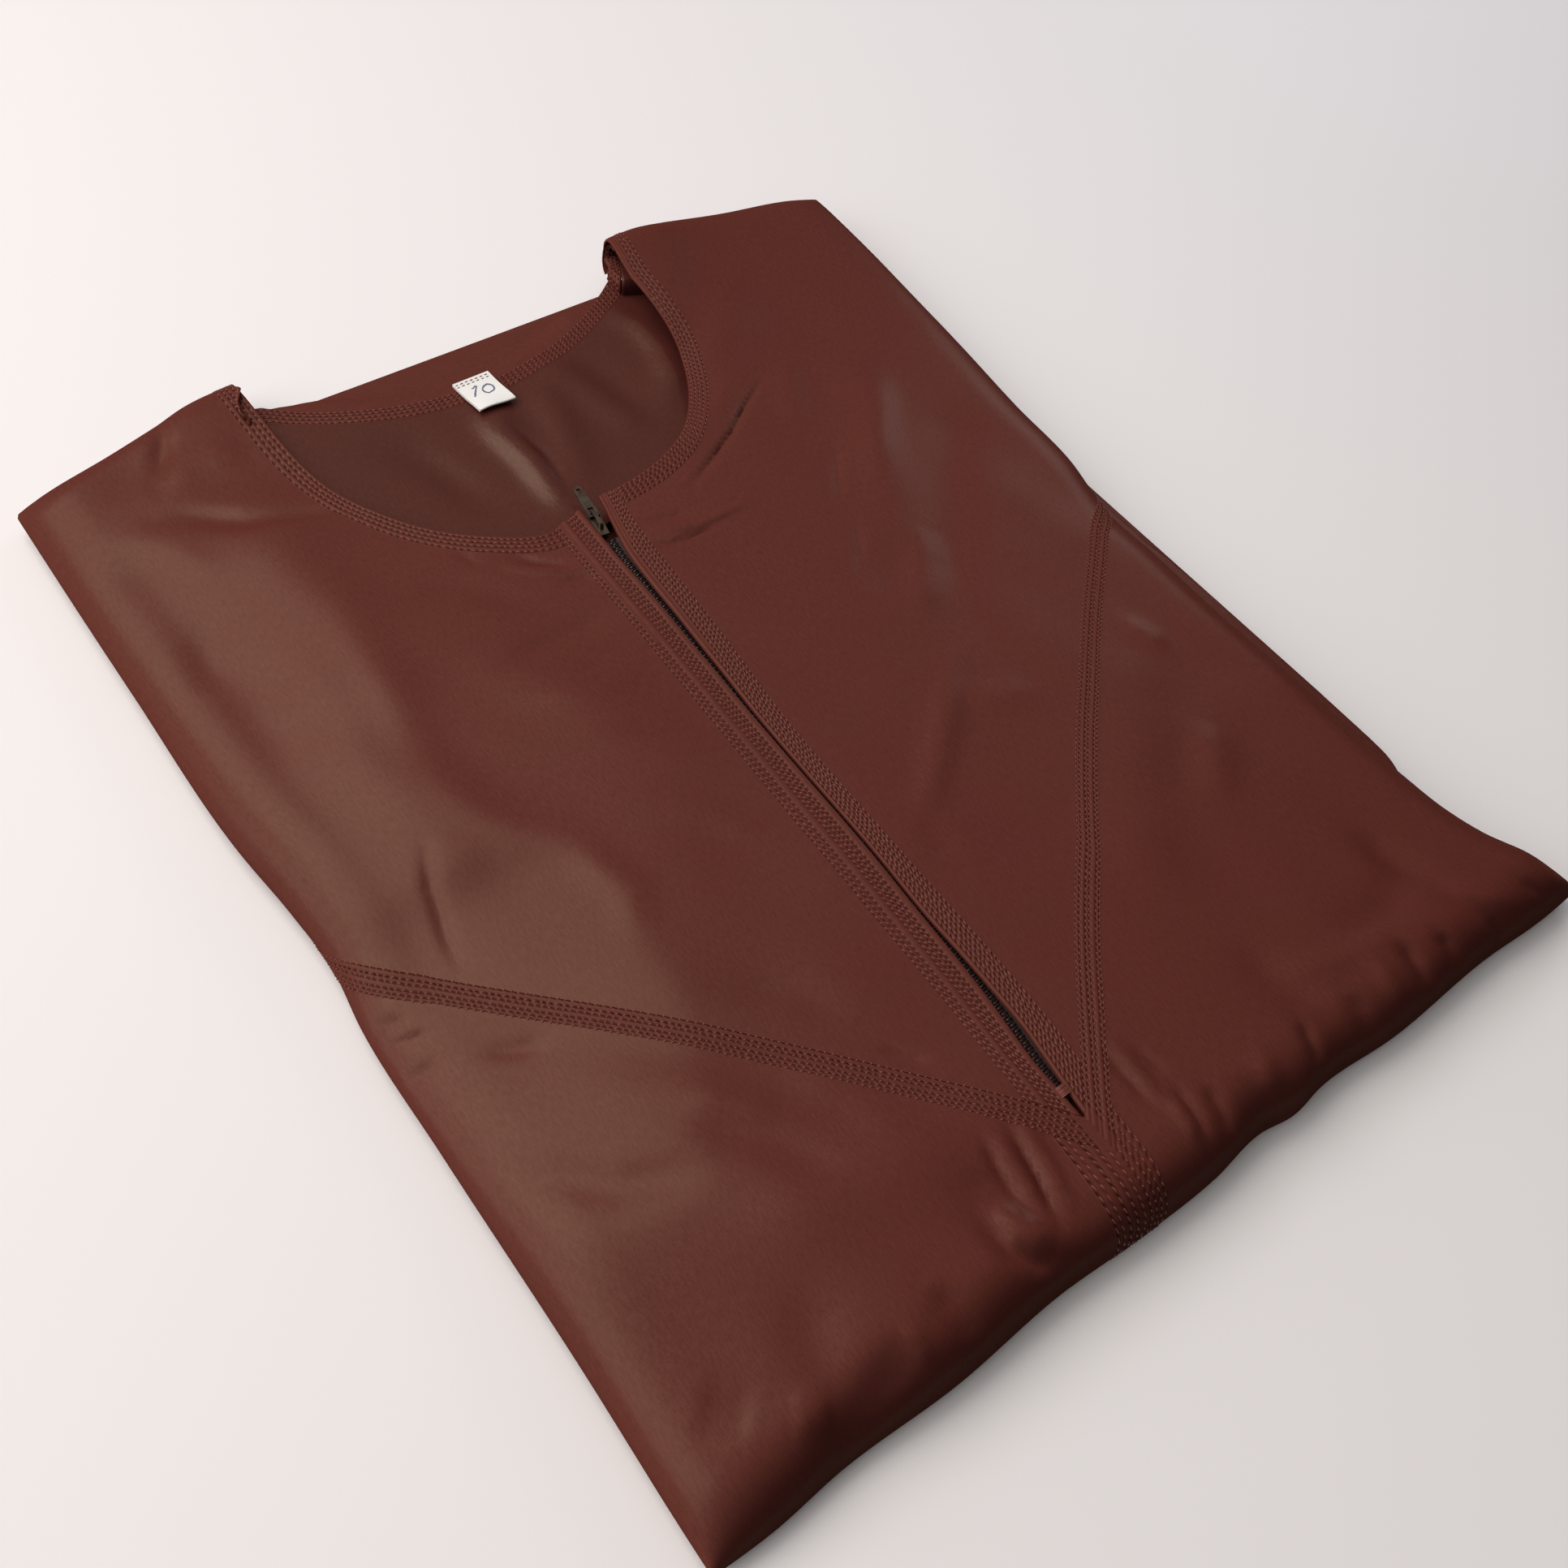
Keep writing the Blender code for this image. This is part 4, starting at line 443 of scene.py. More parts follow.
def under_height(x, y):
    """Height of the cloth that is turned under."""
    beside = ramp(x, 20.0, 120.0) * ramp(y, 14.0, 44.0)
    behind = ramp(x, -175.0, -90.0) * ramp(y, 380.0, 430.0)
    return UNDER_FLOOR + (UNDER_ON_LAYERS - UNDER_FLOOR) * np.maximum(beside, behind)


def turn_under(side, excess):
    """Past a crest: how far out, how much height is left, how much of the drop is made."""
    reach = ROLL_IN[side]
    angle = np.maximum(excess, 0.0) / QUARTER_LENGTH[side] * QUARTER
    past = angle > QUARTER
    out = np.where(past, reach - TUCK * (1 - np.sin(angle)), reach * np.sin(angle))
    return out, np.where(past, 0.0, np.cos(angle)), np.where(past, -np.cos(angle), 0.0)


def front(p, q):
    """Points of the front's underside, in millimetres, for flat coordinates."""
    left_out, left_up, left_under = turn_under("left", CRESTS["left"] - p)
    right_out, right_up, right_under = turn_under("right", p - CRESTS["right"])
    low_out, low_up, low_under = turn_under("bottom", CRESTS["bottom"] - q)
    high_out, high_up, high_under = turn_under("top", q - CRESTS["top"])
    x = np.clip(p, CRESTS["left"], CRESTS["right"]) - left_out + right_out
    y = np.clip(q, CRESTS["bottom"], CRESTS["top"]) - low_out + high_out
    edge = turn_height(x, y)
    roundness = 1 - BOTTOM_SQUARENESS * ramp(x, *BOTTOM_SQUARE_REACH)
    up = left_up * right_up * low_up**roundness * high_up
    down = 1 - (1 - left_under - right_under) * (1 - low_under - high_under)
    z = edge + (front_height(x, y) - edge) * up - (edge - under_height(x, y)) * down
    span = HALF_WIDTH - PULL_FROM
    pull_right, pull_left = (np.clip((side - PULL_FROM) / span, 0.0, 1.1) for side in (x, -x))
    moved_x = x + smooth(RIGHT_SIDE, y) * pull_right - smooth(LEFT_SIDE, y) * pull_left
    moved_y = (y + smooth(SHOULDERS, x) * ramp(y, LENGTH - 60.0, LENGTH - 4.0)
               - smooth(BOTTOM_FOLD, x) * ramp(-y, -30.0, -4.0))
    return np.stack([moved_x, moved_y, z], axis=-1)


def normals_of(surface, flat):
    """Directions straight out of a surface."""
    step = 0.3
    p, q = flat[:, 0], flat[:, 1]
    across = surface(p + step, q) - surface(p - step, q)
    along = surface(p, q + step) - surface(p, q - step)
    return unit(np.cross(across, along))


def lifted(surface, flat, lift):
    """Points of a surface, moved out along its normal."""
    flat = np.asarray(flat, dtype=float)
    return surface(flat[:, 0], flat[:, 1]) + normals_of(surface, flat) * np.reshape(lift, (-1, 1))


foot_of_zip = front(np.array([-30.0]), np.array([40.0]))[0]
print("height over the foot of the zip:", round(float(foot_of_zip[2]), 1), "mm")

# %% [markdown]
# ## The inside of the back
#
# Through the neck opening the inside of the back shows, smoother and more shiny than the
# front, with folds that run down from the label. It is nearly flat, so it has its own
# surface on plan coordinates.

# %% The back's surface and its neck edge
BACK_HEIGHT, BACK_RISE, BACK_MARGIN = 13.4, 2.0, 1.09
BACK_NECK_LINE, BACK_NECK_DROP, BACK_HALF_WIDTH, BACK_BAND = 452.0, 30.0, 84.0, 8.5
BACK_FOLDS = [(-14, 402, -18, 352, 7, 1.2), (22, 410, 30, 376, 8, 1.3), (-52, 405, -44, 362, 9, -0.5)]
BACK_CREASES = [
    (7, 1.8, (-20, 414), (-20, 392), (-17, 372), (-18, 346)),
    (2.6, -1.1, (-13, 392), (-11, 372), (-14, 350)), (8, 1.7, (12, 416), (6, 390), (0, 368), (-9, 342)),
    (7, 2.5, (60, 436), (68, 420), (67, 402), (61, 385), (50, 374)),
    (8, -0.8, (34, 420), (38, 396), (36, 370)), (7, -0.7, (-62, 408), (-52, 388), (-46, 362)),
]


def back(p, q):
    """Points of the inside of the back, in millimetres."""
    rise = BACK_RISE * ramp(q, 436.0, 456.0) * ramp(np.abs(p - NECK_MIDDLE), 55.0, 85.0)
    height = BACK_HEIGHT + folds(BACK_FOLDS, p, q) + bent_folds(BACK_CREASES, p, q) + rise
    return np.stack([p, q, height], axis=-1)


def neck_seam(x):
    """How far along the back neck edge lies at a place across."""
    share = np.clip((x - NECK_MIDDLE) / BACK_HALF_WIDTH, -1.0, 1.0)
    return BACK_NECK_LINE - BACK_NECK_DROP * (1 - share * share)


print("back neck dips to", neck_seam(NECK_MIDDLE), "mm along")

# %% [markdown]
# ## Lines where pieces meet
#
# A maker marks seam lines on flat cloth. Here too each piece is bounded by lines in flat
# coordinates: the neck, the two slanting seams, the strip down the middle, and the rim that
# is tucked under. Where two lines cross, pieces meet.

# %% Tables of the seam lines
SEAM_LEFT = [
    (-30.5, 26.7), (-46, 45.5), (-60, 62), (-100, 108), (-136, 147.5), (-169, 182), (-189, 203),
    (-240, 256),
]
SEAM_RIGHT = [
    (-30.5, 26.7), (-19.5, 40.5), (25, 91.5), (75, 137.5), (108, 163.5), (142, 190), (178, 216),
    (230, 254),
]
STRIP = [
    # along, left edge, zip side of the left placket, zip side of the right one, right edge
    (-40, -46.5, -31.2, -29.8, -26), (0, -46, -31.2, -29.8, -24.5), (14, -45, -31.2, -29.8, -22),
    (37, -43.8, -31, -29.6, -20.2), (47, -43.2, -30.9, -28.5, -18.8), (57, -42.6, -30.9, -27.2, -17.6),
    (67, -42.2, -29.8, -26, -16.9), (84, -41.5, -27.9, -25.4, -16.2), (98, -41, -27, -25.3, -16),
    (112, -40.8, -26.5, -25.5, -16), (147, -40, -24.9, -24.1, -16), (212, -38.2, -23.6, -22.7, -14.2),
    (248, -37, -22.2, -20.4, -10.2), (267, -36.2, -21.4, -19.2, -8.6), (287, -35.4, -20.7, -18.2, -7.2),
    (307, -34.4, -20.2, -16, -5.6), (318, -34, -19.4, -13.4, -4.4), (334, -33, -18.6, -9.4, -1),
    (350, -32, -18.4, -7, 0.6),
]
LINE_STEP = 2.4


def stepped(points, step=LINE_STEP):
    """A polyline cut into even steps."""
    points = np.asarray(points, dtype=float)
    result = [points[:1]]
    for start, end in zip(points[:-1], points[1:]):
        count = max(1, int(np.ceil(np.linalg.norm(end - start) / step)))
        result.append(start + (end - start) * np.arange(1, count + 1)[:, None] / count)
    return np.concatenate(result)


def rounded(points, step=LINE_STEP):
    """A smooth curve through a few points, cut into steps."""
    points = np.asarray(points, dtype=float)
    place = run_along(points)
    stops = np.linspace(0.0, place[-1], max(2, int(place[-1] / step)))
    return np.stack([smooth(np.stack([place, points[:, axis]], axis=1), stops) for axis in (0, 1)], axis=1)


def aside(line, distance):
    """A polyline moved sideways, to its left for a positive distance."""
    heading = unit(np.gradient(line, axis=0))
    return line + distance * np.stack([-heading[:, 1], heading[:, 0]], axis=1)


def crossing(line_a, line_b):
    """Where two polylines cross first: the point, and its place along each of them."""
    a, b = np.asarray(line_a, dtype=float), np.asarray(line_b, dtype=float)
    da, db = np.diff(a, axis=0)[:, None], np.diff(b, axis=0)[None]
    offset = b[None, :-1] - a[:-1, None]
    turn = da[..., 0] * db[..., 1] - da[..., 1] * db[..., 0]
    turn = np.where(np.abs(turn) < 1e-9, np.inf, turn)
    s = (offset[..., 0] * db[..., 1] - offset[..., 1] * db[..., 0]) / turn
    t = (offset[..., 0] * da[..., 1] - offset[..., 1] * da[..., 0]) / turn
    hits = np.argwhere((s > -1e-9) & (s < 1 + 1e-9) & (t > -1e-9) & (t < 1 + 1e-9) & np.isfinite(turn))
    if not len(hits):
        raise ValueError("the lines don't cross")
    i, j = hits[0]
    return a[i] + s[i, j] * da[i, 0], i + s[i, j], j + t[i, j]


def stretch(line, start, end):
    """The part of a polyline between two other lines that cross it."""
    first, place_first, _ = crossing(line, start)
    last, place_last, _ = crossing(line, end)
    low, high = sorted((place_first, place_last))
    inner = [line[i] for i in range(len(line)) if low + 1e-3 < i < high - 1e-3]
    if place_first > place_last:
        inner.reverse()
    return [first] + inner + [last]


def flat_edge(side, angle):
    """Flat coordinate at which the cloth has turned by an angle past a side's crest."""
    outward = 1.0 if side in ("right", "top") else -1.0
    return CRESTS[side] + outward * QUARTER_LENGTH[side] * angle / QUARTER


def rim_line(turn):
    """The cloth's own outline, mitred at the corners so that it never doubles there."""
    corners = []
    for side, end in (("left", "bottom"), ("right", "bottom"), ("right", "top"), ("left", "top")):
        stops = [(flat_edge(side, turn), flat_edge(end, MITRE_TURN)),
                 (flat_edge(side, CORNER_TURN), flat_edge(end, CORNER_TURN)),
                 (flat_edge(side, MITRE_TURN), flat_edge(end, turn))]
        corners += stops if (side, end) in (("left", "bottom"), ("right", "top")) else stops[::-1]
    return stepped(corners + corners[:1])


def neck_line(extra):
    """The front neck edge, from the left shoulder round to the right, moved out by extra."""
    half_width = NECK_HALF_WIDTH + extra
    left = [(NECK_MIDDLE - half_width + inwards, along) for along, inwards, _ in NECK_ENDS[::-1]]
    right = [(NECK_MIDDLE + half_width + outwards, along) for along, _, outwards in NECK_ENDS]
    angles = np.radians(np.linspace(180.0, 360.0, 65))[1:-1]
    x = NECK_MIDDLE + half_width * np.cos(angles)
    curve = np.stack([x, NECK_TOP + (smooth(NECK_DROPS, x) + extra) * np.sin(angles)], axis=1)
    return stepped(np.concatenate([rounded(left, 4.0), curve, rounded(right, 4.0)]))


def strip_line(column):
    """One of the long lines of the middle strip."""
    return rounded([(row[column], row[0]) for row in STRIP])


seam_left, seam_right = rounded(SEAM_LEFT), rounded(SEAM_RIGHT)
line = {
    "rim": rim_line(SHELL_TURN), "neck": neck_line(0.0), "neck_outer": neck_line(NECK_BAND),
    "strip_left": strip_line(1), "zip_left": strip_line(2),
    "zip_right": strip_line(3), "strip_right": strip_line(4),
    "left_upper": aside(seam_left, -SEAM_BAND / 2), "left_lower": aside(seam_left, SEAM_BAND / 2),
    "right_upper": aside(seam_right, SEAM_BAND / 2), "right_lower": aside(seam_right, -SEAM_BAND / 2),
}
for name in ("left_upper", "left_lower", "right_upper", "right_lower"):
    longer = line[name][0] + unit(line[name][0] - line[name][1]) * SEAM_BAND
    line[name] = np.concatenate([[longer], line[name]])
for name in ("neck_outer", "neck"):
    line[name + "_back"] = line[name][::-1]
apex_top, _, _ = crossing(line["left_upper"], line["right_upper"])
apex_low, _, _ = crossing(line["left_lower"], line["right_lower"])
apex_line = [apex_top + (apex_top - apex_low) * 3, apex_low - (apex_top - apex_low) * 3]
print("the V of the seams meets at", apex_low.round(1))

# %% [markdown]
# ## A closed shell from an outline
#
# Each yoke and each lower front is one thin closed shell: its outline in flat coordinates is
# filled with fine triangles, laid over the form twice, once for each face of the cloth, and
# joined round the edge. A cloth simulation could settle it, but the folds here are those of
# one photograph, so placing them one by one is closer.

# %% Outlines, filling and shells
PANEL_SPACING = 1.9
SEAM_OVERLAP = 0.4
SHARP_FROM = np.radians(62.0)
# how far the cloth must face the bottom edge for the painted fold shade to start and to be full
PAINTED_SHADE_FROM = (0.06, 0.62)


def outline_of(*stretches):
    """A closed outline from stretches that follow each other, without doubled points."""
    outline = []
    for part in stretches:
        for point in part:
            if not outline or np.linalg.norm(point - outline[-1]) > 0.05:
                outline.append(np.asarray(point, dtype=float))
    if np.linalg.norm(outline[0] - outline[-1]) < 0.05:
        outline.pop()
    outline = np.array(outline)
    return outline if signed_area(outline) > 0 else outline[::-1]


def inset(outline, distance):
    """A closed outline moved inwards, its corners mitred."""
    before = unit(outline - np.roll(outline, 1, axis=0))
    after = np.roll(before, -1, axis=0)
    inward_before = np.stack([-before[:, 1], before[:, 0]], axis=1)
    inward_after = np.stack([-after[:, 1], after[:, 0]], axis=1)
    share = np.maximum(1 + np.sum(inward_before * inward_after, axis=1), 0.25)
    return outline + distance * (inward_before + inward_after) / share[:, None]


def well_inside(outline, points, margin):
    """Which points lie inside a closed outline, and further from it than the margin."""
    near = np.full(len(points), 1e9)
    inside = np.zeros(len(points), dtype=bool)
    for a, b in zip(outline, np.roll(outline, -1, axis=0)):
        side = b - a
        share = np.clip(((points - a) @ side) / (side @ side), 0.0, 1.0)
        near = np.minimum(near, np.linalg.norm(points - a - share[:, None] * side, axis=1))
        spans = (a[1] > points[:, 1]) != (b[1] > points[:, 1])
        rise = side[1] if side[1] != 0 else 1e-12
        inside ^= spans & (points[:, 0] < a[0] + (points[:, 1] - a[1]) / rise * side[0])
    return inside & (near > margin)


def fill(outline, spacing):
    """Even triangles inside a closed outline."""
    low, high = outline.min(axis=0), outline.max(axis=0)
    rows = np.arange(low[1], high[1], spacing * 0.87)
    inner = []
    for index, y in enumerate(rows):
        x = np.arange(low[0] + (index % 2) * spacing / 2, high[0], spacing)
        inner.append(np.stack([x, np.full(len(x), y)], axis=1))
    inner = np.concatenate(inner)
    inner = inner[well_inside(outline, inner, spacing * 0.55)]
    count = len(outline)
    points = [Vector(point) for point in outline] + [Vector(point) for point in inner]
    edges = [(index, (index + 1) % count) for index in range(count)]
    verts, _, faces, _, _, _ = delaunay_2d_cdt(points, edges, [], 1, 1e-5)
    if len(verts) != len(points):
        raise ValueError("the outline crosses itself")
    flat, faces = np.array([tuple(vert) for vert in verts]), np.array(faces)
    ab, ac = flat[faces[:, 1]] - flat[faces[:, 0]], flat[faces[:, 2]] - flat[faces[:, 0]]
    turned = ab[:, 0] * ac[:, 1] - ab[:, 1] * ac[:, 0] < 0
    faces[turned] = faces[turned][:, [0, 2, 1]]
    return flat, faces


def grid_faces(index):
    """The four-sided faces of a grid of points, and the points round its border."""
    quads = np.stack([index[:-1, :-1], index[1:, :-1], index[1:, 1:], index[:-1, 1:]], axis=-1)
    border = np.concatenate([index[0, :-1], index[:-1, -1], index[-1, :0:-1], index[:0:-1, 0]])
    return quads.reshape(-1, 4), border


def add_mesh(name, points, faces, material, cloth=None, attributes=()):
    """A smooth shaded piece from points in millimetres, riding on the garment."""
    mesh = bpy.data.meshes.new(name)
    place = (np.asarray(points) - MIDDLE) * MM
    mesh.from_pydata(place.tolist(), [], [list(face) for face in faces])
    mesh.shade_smooth()
    mesh.set_sharp_from_angle(angle=SHARP_FROM)
    if cloth is not None:
        layer = mesh.attributes.new("cloth", "FLOAT_VECTOR", "POINT")
        layer.data.foreach_set("vector", (np.column_stack([cloth, np.zeros(len(cloth))]) * MM).ravel())
    for key, values in attributes:
        numbers = mesh.attributes.new(key, "FLOAT", "POINT")
        numbers.data.foreach_set("value", np.asarray(values, dtype=np.float32))
    mesh.materials.append(material)
    made = bpy.data.objects.new(name, mesh)
    bpy.context.scene.collection.objects.link(made)
    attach(made, "garment")
    return made


def keep(group, name, made, node=None):
    """Keeps a piece under a name and hides the solid that it stands in for."""
    group[name] = made
    if node:
        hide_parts(node)


def face_outwards(made):
    """Turns every face of a closed piece outwards and keeps the edges of its walls crisp."""
    work = bmesh.new()
    work.from_mesh(made.data)
    bmesh.ops.recalc_face_normals(work, faces=work.faces)
    work.to_mesh(made.data)
    work.free()
    made.data.set_sharp_from_angle(angle=SHARP_FROM)
    return made


def painted_shade_share(surface, flat):
    """The share of painted fold shade, from 0 to 1: it grows as the cloth turns to face the bottom edge of
    the garment.
    """
    return ramp(-normals_of(surface, flat)[:, 1], *PAINTED_SHADE_FROM)


def shell(name, surface, outline, lifts, material, spacing=PANEL_SPACING):
    """A sheet of cloth over a surface, between two lifts and inside a closed outline."""
    flat, triangles = fill(outline, spacing)
    count, rim = len(flat), np.arange(len(outline))
    low, high = lifted(surface, flat, lifts[0]), lifted(surface, flat, lifts[1])
    after = np.roll(rim, -1)
    walls = np.stack([rim, after, after + count, rim + count], axis=1)
    faces = [*(triangles + count), *triangles[:, ::-1], *walls]
    # painted shade of the bottom fold, from how far the cloth faces the bottom edge
    deep = painted_shade_share(surface, flat)
    return add_mesh(name, np.concatenate([low, high]), faces, material, cloth=np.concatenate([flat, flat]),
                    attributes=[("turned", np.concatenate([deep, deep]))])


piece, thread_of, cut_area = {}, {}, {}
print("panel triangles are", PANEL_SPACING, "mm apart")

# %% [markdown]
# ## Finishes
#
# Shader maths reads best as Python. `Value` wraps one output of a node, and the usual
# operators add Math nodes, so `1 - holes * 0.5` is three words and two nodes. `Finish` holds
# one material and adds any other node through one method.

# %% A small kit for node maths


class Value:
    """One output of a node. Operators join it to others through Math nodes."""

    def __init__(self, finish, socket):
        self.finish, self.socket = finish, socket

    def math(self, operation, *others):
        return self.finish.node("ShaderNodeMath", {"operation": operation}, dict(enumerate((self, *others))))

    def __add__(self, other):
        return self.math("ADD", other)

    def __mul__(self, other):
        return self.math("MULTIPLY", other)

    def __sub__(self, other):
        return self.math("SUBTRACT", other)

    def __rsub__(self, other):
        return (self * -1.0) + other

    def __truediv__(self, other):
        return self.math("DIVIDE", other)

    def __pow__(self, other):
        return self.math("POWER", other)

    def __lt__(self, other):
        return self.math("LESS_THAN", other)

    def __gt__(self, other):
        return self.math("GREATER_THAN", other)

    __radd__, __rmul__ = __add__, __mul__


class Finish:
    """One material. Its fixed numbers are set on the shader's own sockets."""

    def __init__(self, name, **fixed):
        self.material = bpy.data.materials.new(name)
        self.material.use_nodes = True
        self.shader = self.material.node_tree.nodes["Principled BSDF"]
        for key, value in fixed.items():
            self.shader.inputs[key.replace("_", " ")].default_value = value

    def node(self, kind, settings=(), inputs=(), output=0):
        """Adds a node: its settings first, then its sockets' values or links."""
        node = self.material.node_tree.nodes.new(kind)
        for key, value in dict(settings).items():
            if key == "stops":
                while len(node.color_ramp.elements) < len(value):
                    node.color_ramp.elements.new(0.5)
                for element, (place, colour) in zip(node.color_ramp.elements, value):
                    element.position, element.color = place, (*colour, 1.0)
            else:
                setattr(node, key, value)
        for key, value in dict(inputs).items():
            self.join(node.inputs[key], value)
        return Value(self, node.outputs[output])

    def join(self, socket, value):
        if isinstance(value, Value):
            self.material.node_tree.links.new(value.socket, socket)
        elif isinstance(value, tuple) and len(value) == 3 and socket.type == "RGBA":
            socket.default_value = (*value, 1.0)
        else:
            socket.default_value = value

    def cloth(self, stretch=(1.0, 1.0, 1.0)):
        """Flat cloth coordinates in metres, stretched."""
        place = self.node("ShaderNodeAttribute", {"attribute_name": "cloth"}, output="Vector")
        return self.node("ShaderNodeVectorMath", {"operation": "MULTIPLY"}, {0: place, 1: stretch})

    def place(self, stretch=(1.0, 1.0, 1.0)):
        """Coordinates in the garment's own space, in metres, stretched."""
        place = self.node("ShaderNodeTexCoord", output="Object")
        return self.node("ShaderNodeVectorMath", {"operation": "MULTIPLY"}, {0: place, 1: stretch})

    def noise(self, vector, scale, detail=2.0, roughness=0.5):
        return self.node("ShaderNodeTexNoise", (), {"Vector": vector, "Scale": scale, "Detail": detail,
                                                    "Roughness": roughness})

    def number(self, name):
        return self.node("ShaderNodeAttribute", {"attribute_name": name}, output="Fac")

    def mix(self, share, first, second):
        return self.node("ShaderNodeMix", {"data_type": "RGBA"}, {0: share, 6: first, 7: second}, output=2)

    def bump(self, height, strength, distance):
        sockets = {"Height": height, "Strength": strength, "Distance": distance}
        return self.node("ShaderNodeBump", (), sockets)

    def use(self, **links):
        for key, value in links.items():
            self.join(self.shader.inputs[key.replace("_", " ")], value)
        return self.material

    def polish(self, share, tint, roughness, normal):
        """Lays a mirror-like shine over the finished shader, as strong from the side as from above."""
        shine = self.node("ShaderNodeBsdfPrincipled", (), {
            "Base Color": tint, "Metallic": 1.0, "Specular Tint": (0.35, 0.3, 0.25), "Roughness": roughness,
            "Normal": normal})
        plain = Value(self, self.shader.outputs[0])
        both = self.node("ShaderNodeMixShader", (), {0: share, 1: plain, 2: shine})
        self.join(self.material.node_tree.nodes["Material Output"].inputs["Surface"], both)
        return self.material


print("kit ready")

# %% [markdown]
# ## Satin
#
# Satin is woven with long floating threads, so it is smooth and shines softly along the
# cloth, with a fine grain that runs down the length. A broad noise moves the colour between
# red and brown, and two fine ones, stretched along and across the cloth, make the grain in
# colour, roughness and bump. The shine is a thin metallic layer in a Mix Shader: it is as
# strong from the side as from above, so steep walls don't turn grey. "turned" is a number on
# every point that says how far the cloth faces the bottom edge. There the colour is painted
# darker and the shine is weakened: painted shade for the bottom fold. The needle holes of the
# bands get painted shade as well.

# %% The satin and its variants
# colours of the painted shade: at the bottom fold, and in the needle holes
PAINTED_FOLD_SHADE, PAINTED_HOLE_SHADE = (0.026, 0.0075, 0.0062), (0.014, 0.005, 0.004)
SHINE_TINT = (0.96, 0.79, 0.58)


def shaded(colour, factor):
    """A lighter or darker shade of a colour."""
    return tuple(min(1.0, factor * part) for part in colour)


def satin(name, red, brown, roughness, shine, grain_strength, holes=False):
    """Satin between two colours; holes paints shade into the needle holes of a band."""
    finish = Finish(name, Sheen_Weight=0.01, Sheen_Roughness=0.4, Sheen_Tint=(1.0, 0.72, 0.6, 1.0),
                    Specular_IOR_Level=0.0)
    broad = finish.noise(finish.cloth(), 11.0, 3.0)
    grain = finish.noise(finish.cloth((1.0, 0.28, 1.0)), 1100.0, 3.0, 0.6)
    weave = finish.noise(finish.cloth((0.35, 1.0, 1.0)), 2200.0, 1.0)
    fuzz = grain * 0.7 + weave * 0.3
    colour = finish.mix((broad - 0.32) * 2.8, brown, red)
    colour = finish.mix(0.5 - grain_strength + fuzz * grain_strength * 2.0, colour, shaded(red, 1.5))
    colour = finish.mix((1 - fuzz) * grain_strength * 2.0, colour, shaded(brown, 0.66))
    # painted shade: the colour is darkened where the cloth faces the bottom edge
    turned = finish.number("turned")
    colour = finish.mix(turned * 0.75, colour, PAINTED_FOLD_SHADE)
    # painted shade in the needle holes: darker colour and no shine in the pits
    if holes:
        colour = finish.mix(finish.number("holes") * 0.9, colour, PAINTED_HOLE_SHADE)
        shine = shine * (1 - finish.number("holes"))
    rough = roughness + (fuzz - 0.5) * 0.16 + (broad - 0.5) * 0.06
    normal = finish.bump(fuzz, 0.4, 0.00016)
    finish.use(Base_Color=colour, Roughness=rough, Normal=normal)
    # the shine is weakened too where the fold shade is painted
    return finish.polish((0.4 + fuzz * 1.2) * (1 - turned * 0.6) * shine, SHINE_TINT, rough, normal)


SATIN = satin("satin", (0.092, 0.0182, 0.0143), (0.081, 0.0225, 0.0148), 0.33, 0.0215, 0.27)
SATIN_INSIDE = satin("satin_inside", (0.063, 0.0142, 0.0115), (0.054, 0.0155, 0.0117), 0.26, 0.027, 0.18)
SATIN_BAND = satin("satin_under_stitches", (0.092, 0.0192, 0.0148), (0.082, 0.0222, 0.0148), 0.42, 0.017,
                   0.22, holes=True)
print("satin finishes:", SATIN.name, SATIN_INSIDE.name, SATIN_BAND.name)

# %% [markdown]
# ## Thread, tape, nylon and metal
#
# The stitches are of twisted thread, a lighter shade of the cloth's colour and never quite
# even. The zip has woven tapes, nylon teeth and a slider of dark worn metal. The tapes get
# fine ribs. For the rest a few noises are enough, since the pieces are so small.

# %% Thread, tape, nylon and metal


def twisted_thread(name, colour, roughness, gloss):
    finish = Finish(name, Specular_IOR_Level=gloss, Sheen_Weight=0.1, Sheen_Tint=(1.0, 0.7, 0.6, 1.0))
    twist = finish.noise(finish.place(), 2600.0, 2.0)
    worn = finish.noise(finish.place(), 60.0, 2.0)
    shade = finish.mix(twist, shaded(colour, 0.62), shaded(colour, 1.35))
    shade = finish.mix((worn - 0.45) * 1.6, shade, shaded(colour, 0.75))
    # painted shade: the thread is darkened where it faces the bottom edge
    shade = finish.mix(finish.number("turned") * 0.8, shade, shaded(colour, 0.3))
    return finish.use(Base_Color=shade, Roughness=roughness + (twist - 0.5) * 0.2,
                      Normal=finish.bump(twist, 0.5, 0.0001))


def worn_metal(name, colour, edge):
    finish = Finish(name, Metallic=0.85, Coat_Weight=0.25, Coat_Roughness=0.2)
    scratches = finish.noise(finish.place((1.0, 0.2, 1.0)), 900.0, 4.0)
    patches = finish.noise(finish.place(), 220.0, 2.0)
    shade = finish.mix((patches - 0.4) * 2.2, colour, edge)
    return finish.use(Base_Color=shade, Roughness=0.24 + scratches * 0.22,
                      Normal=finish.bump(scratches, 0.2, 0.00005))


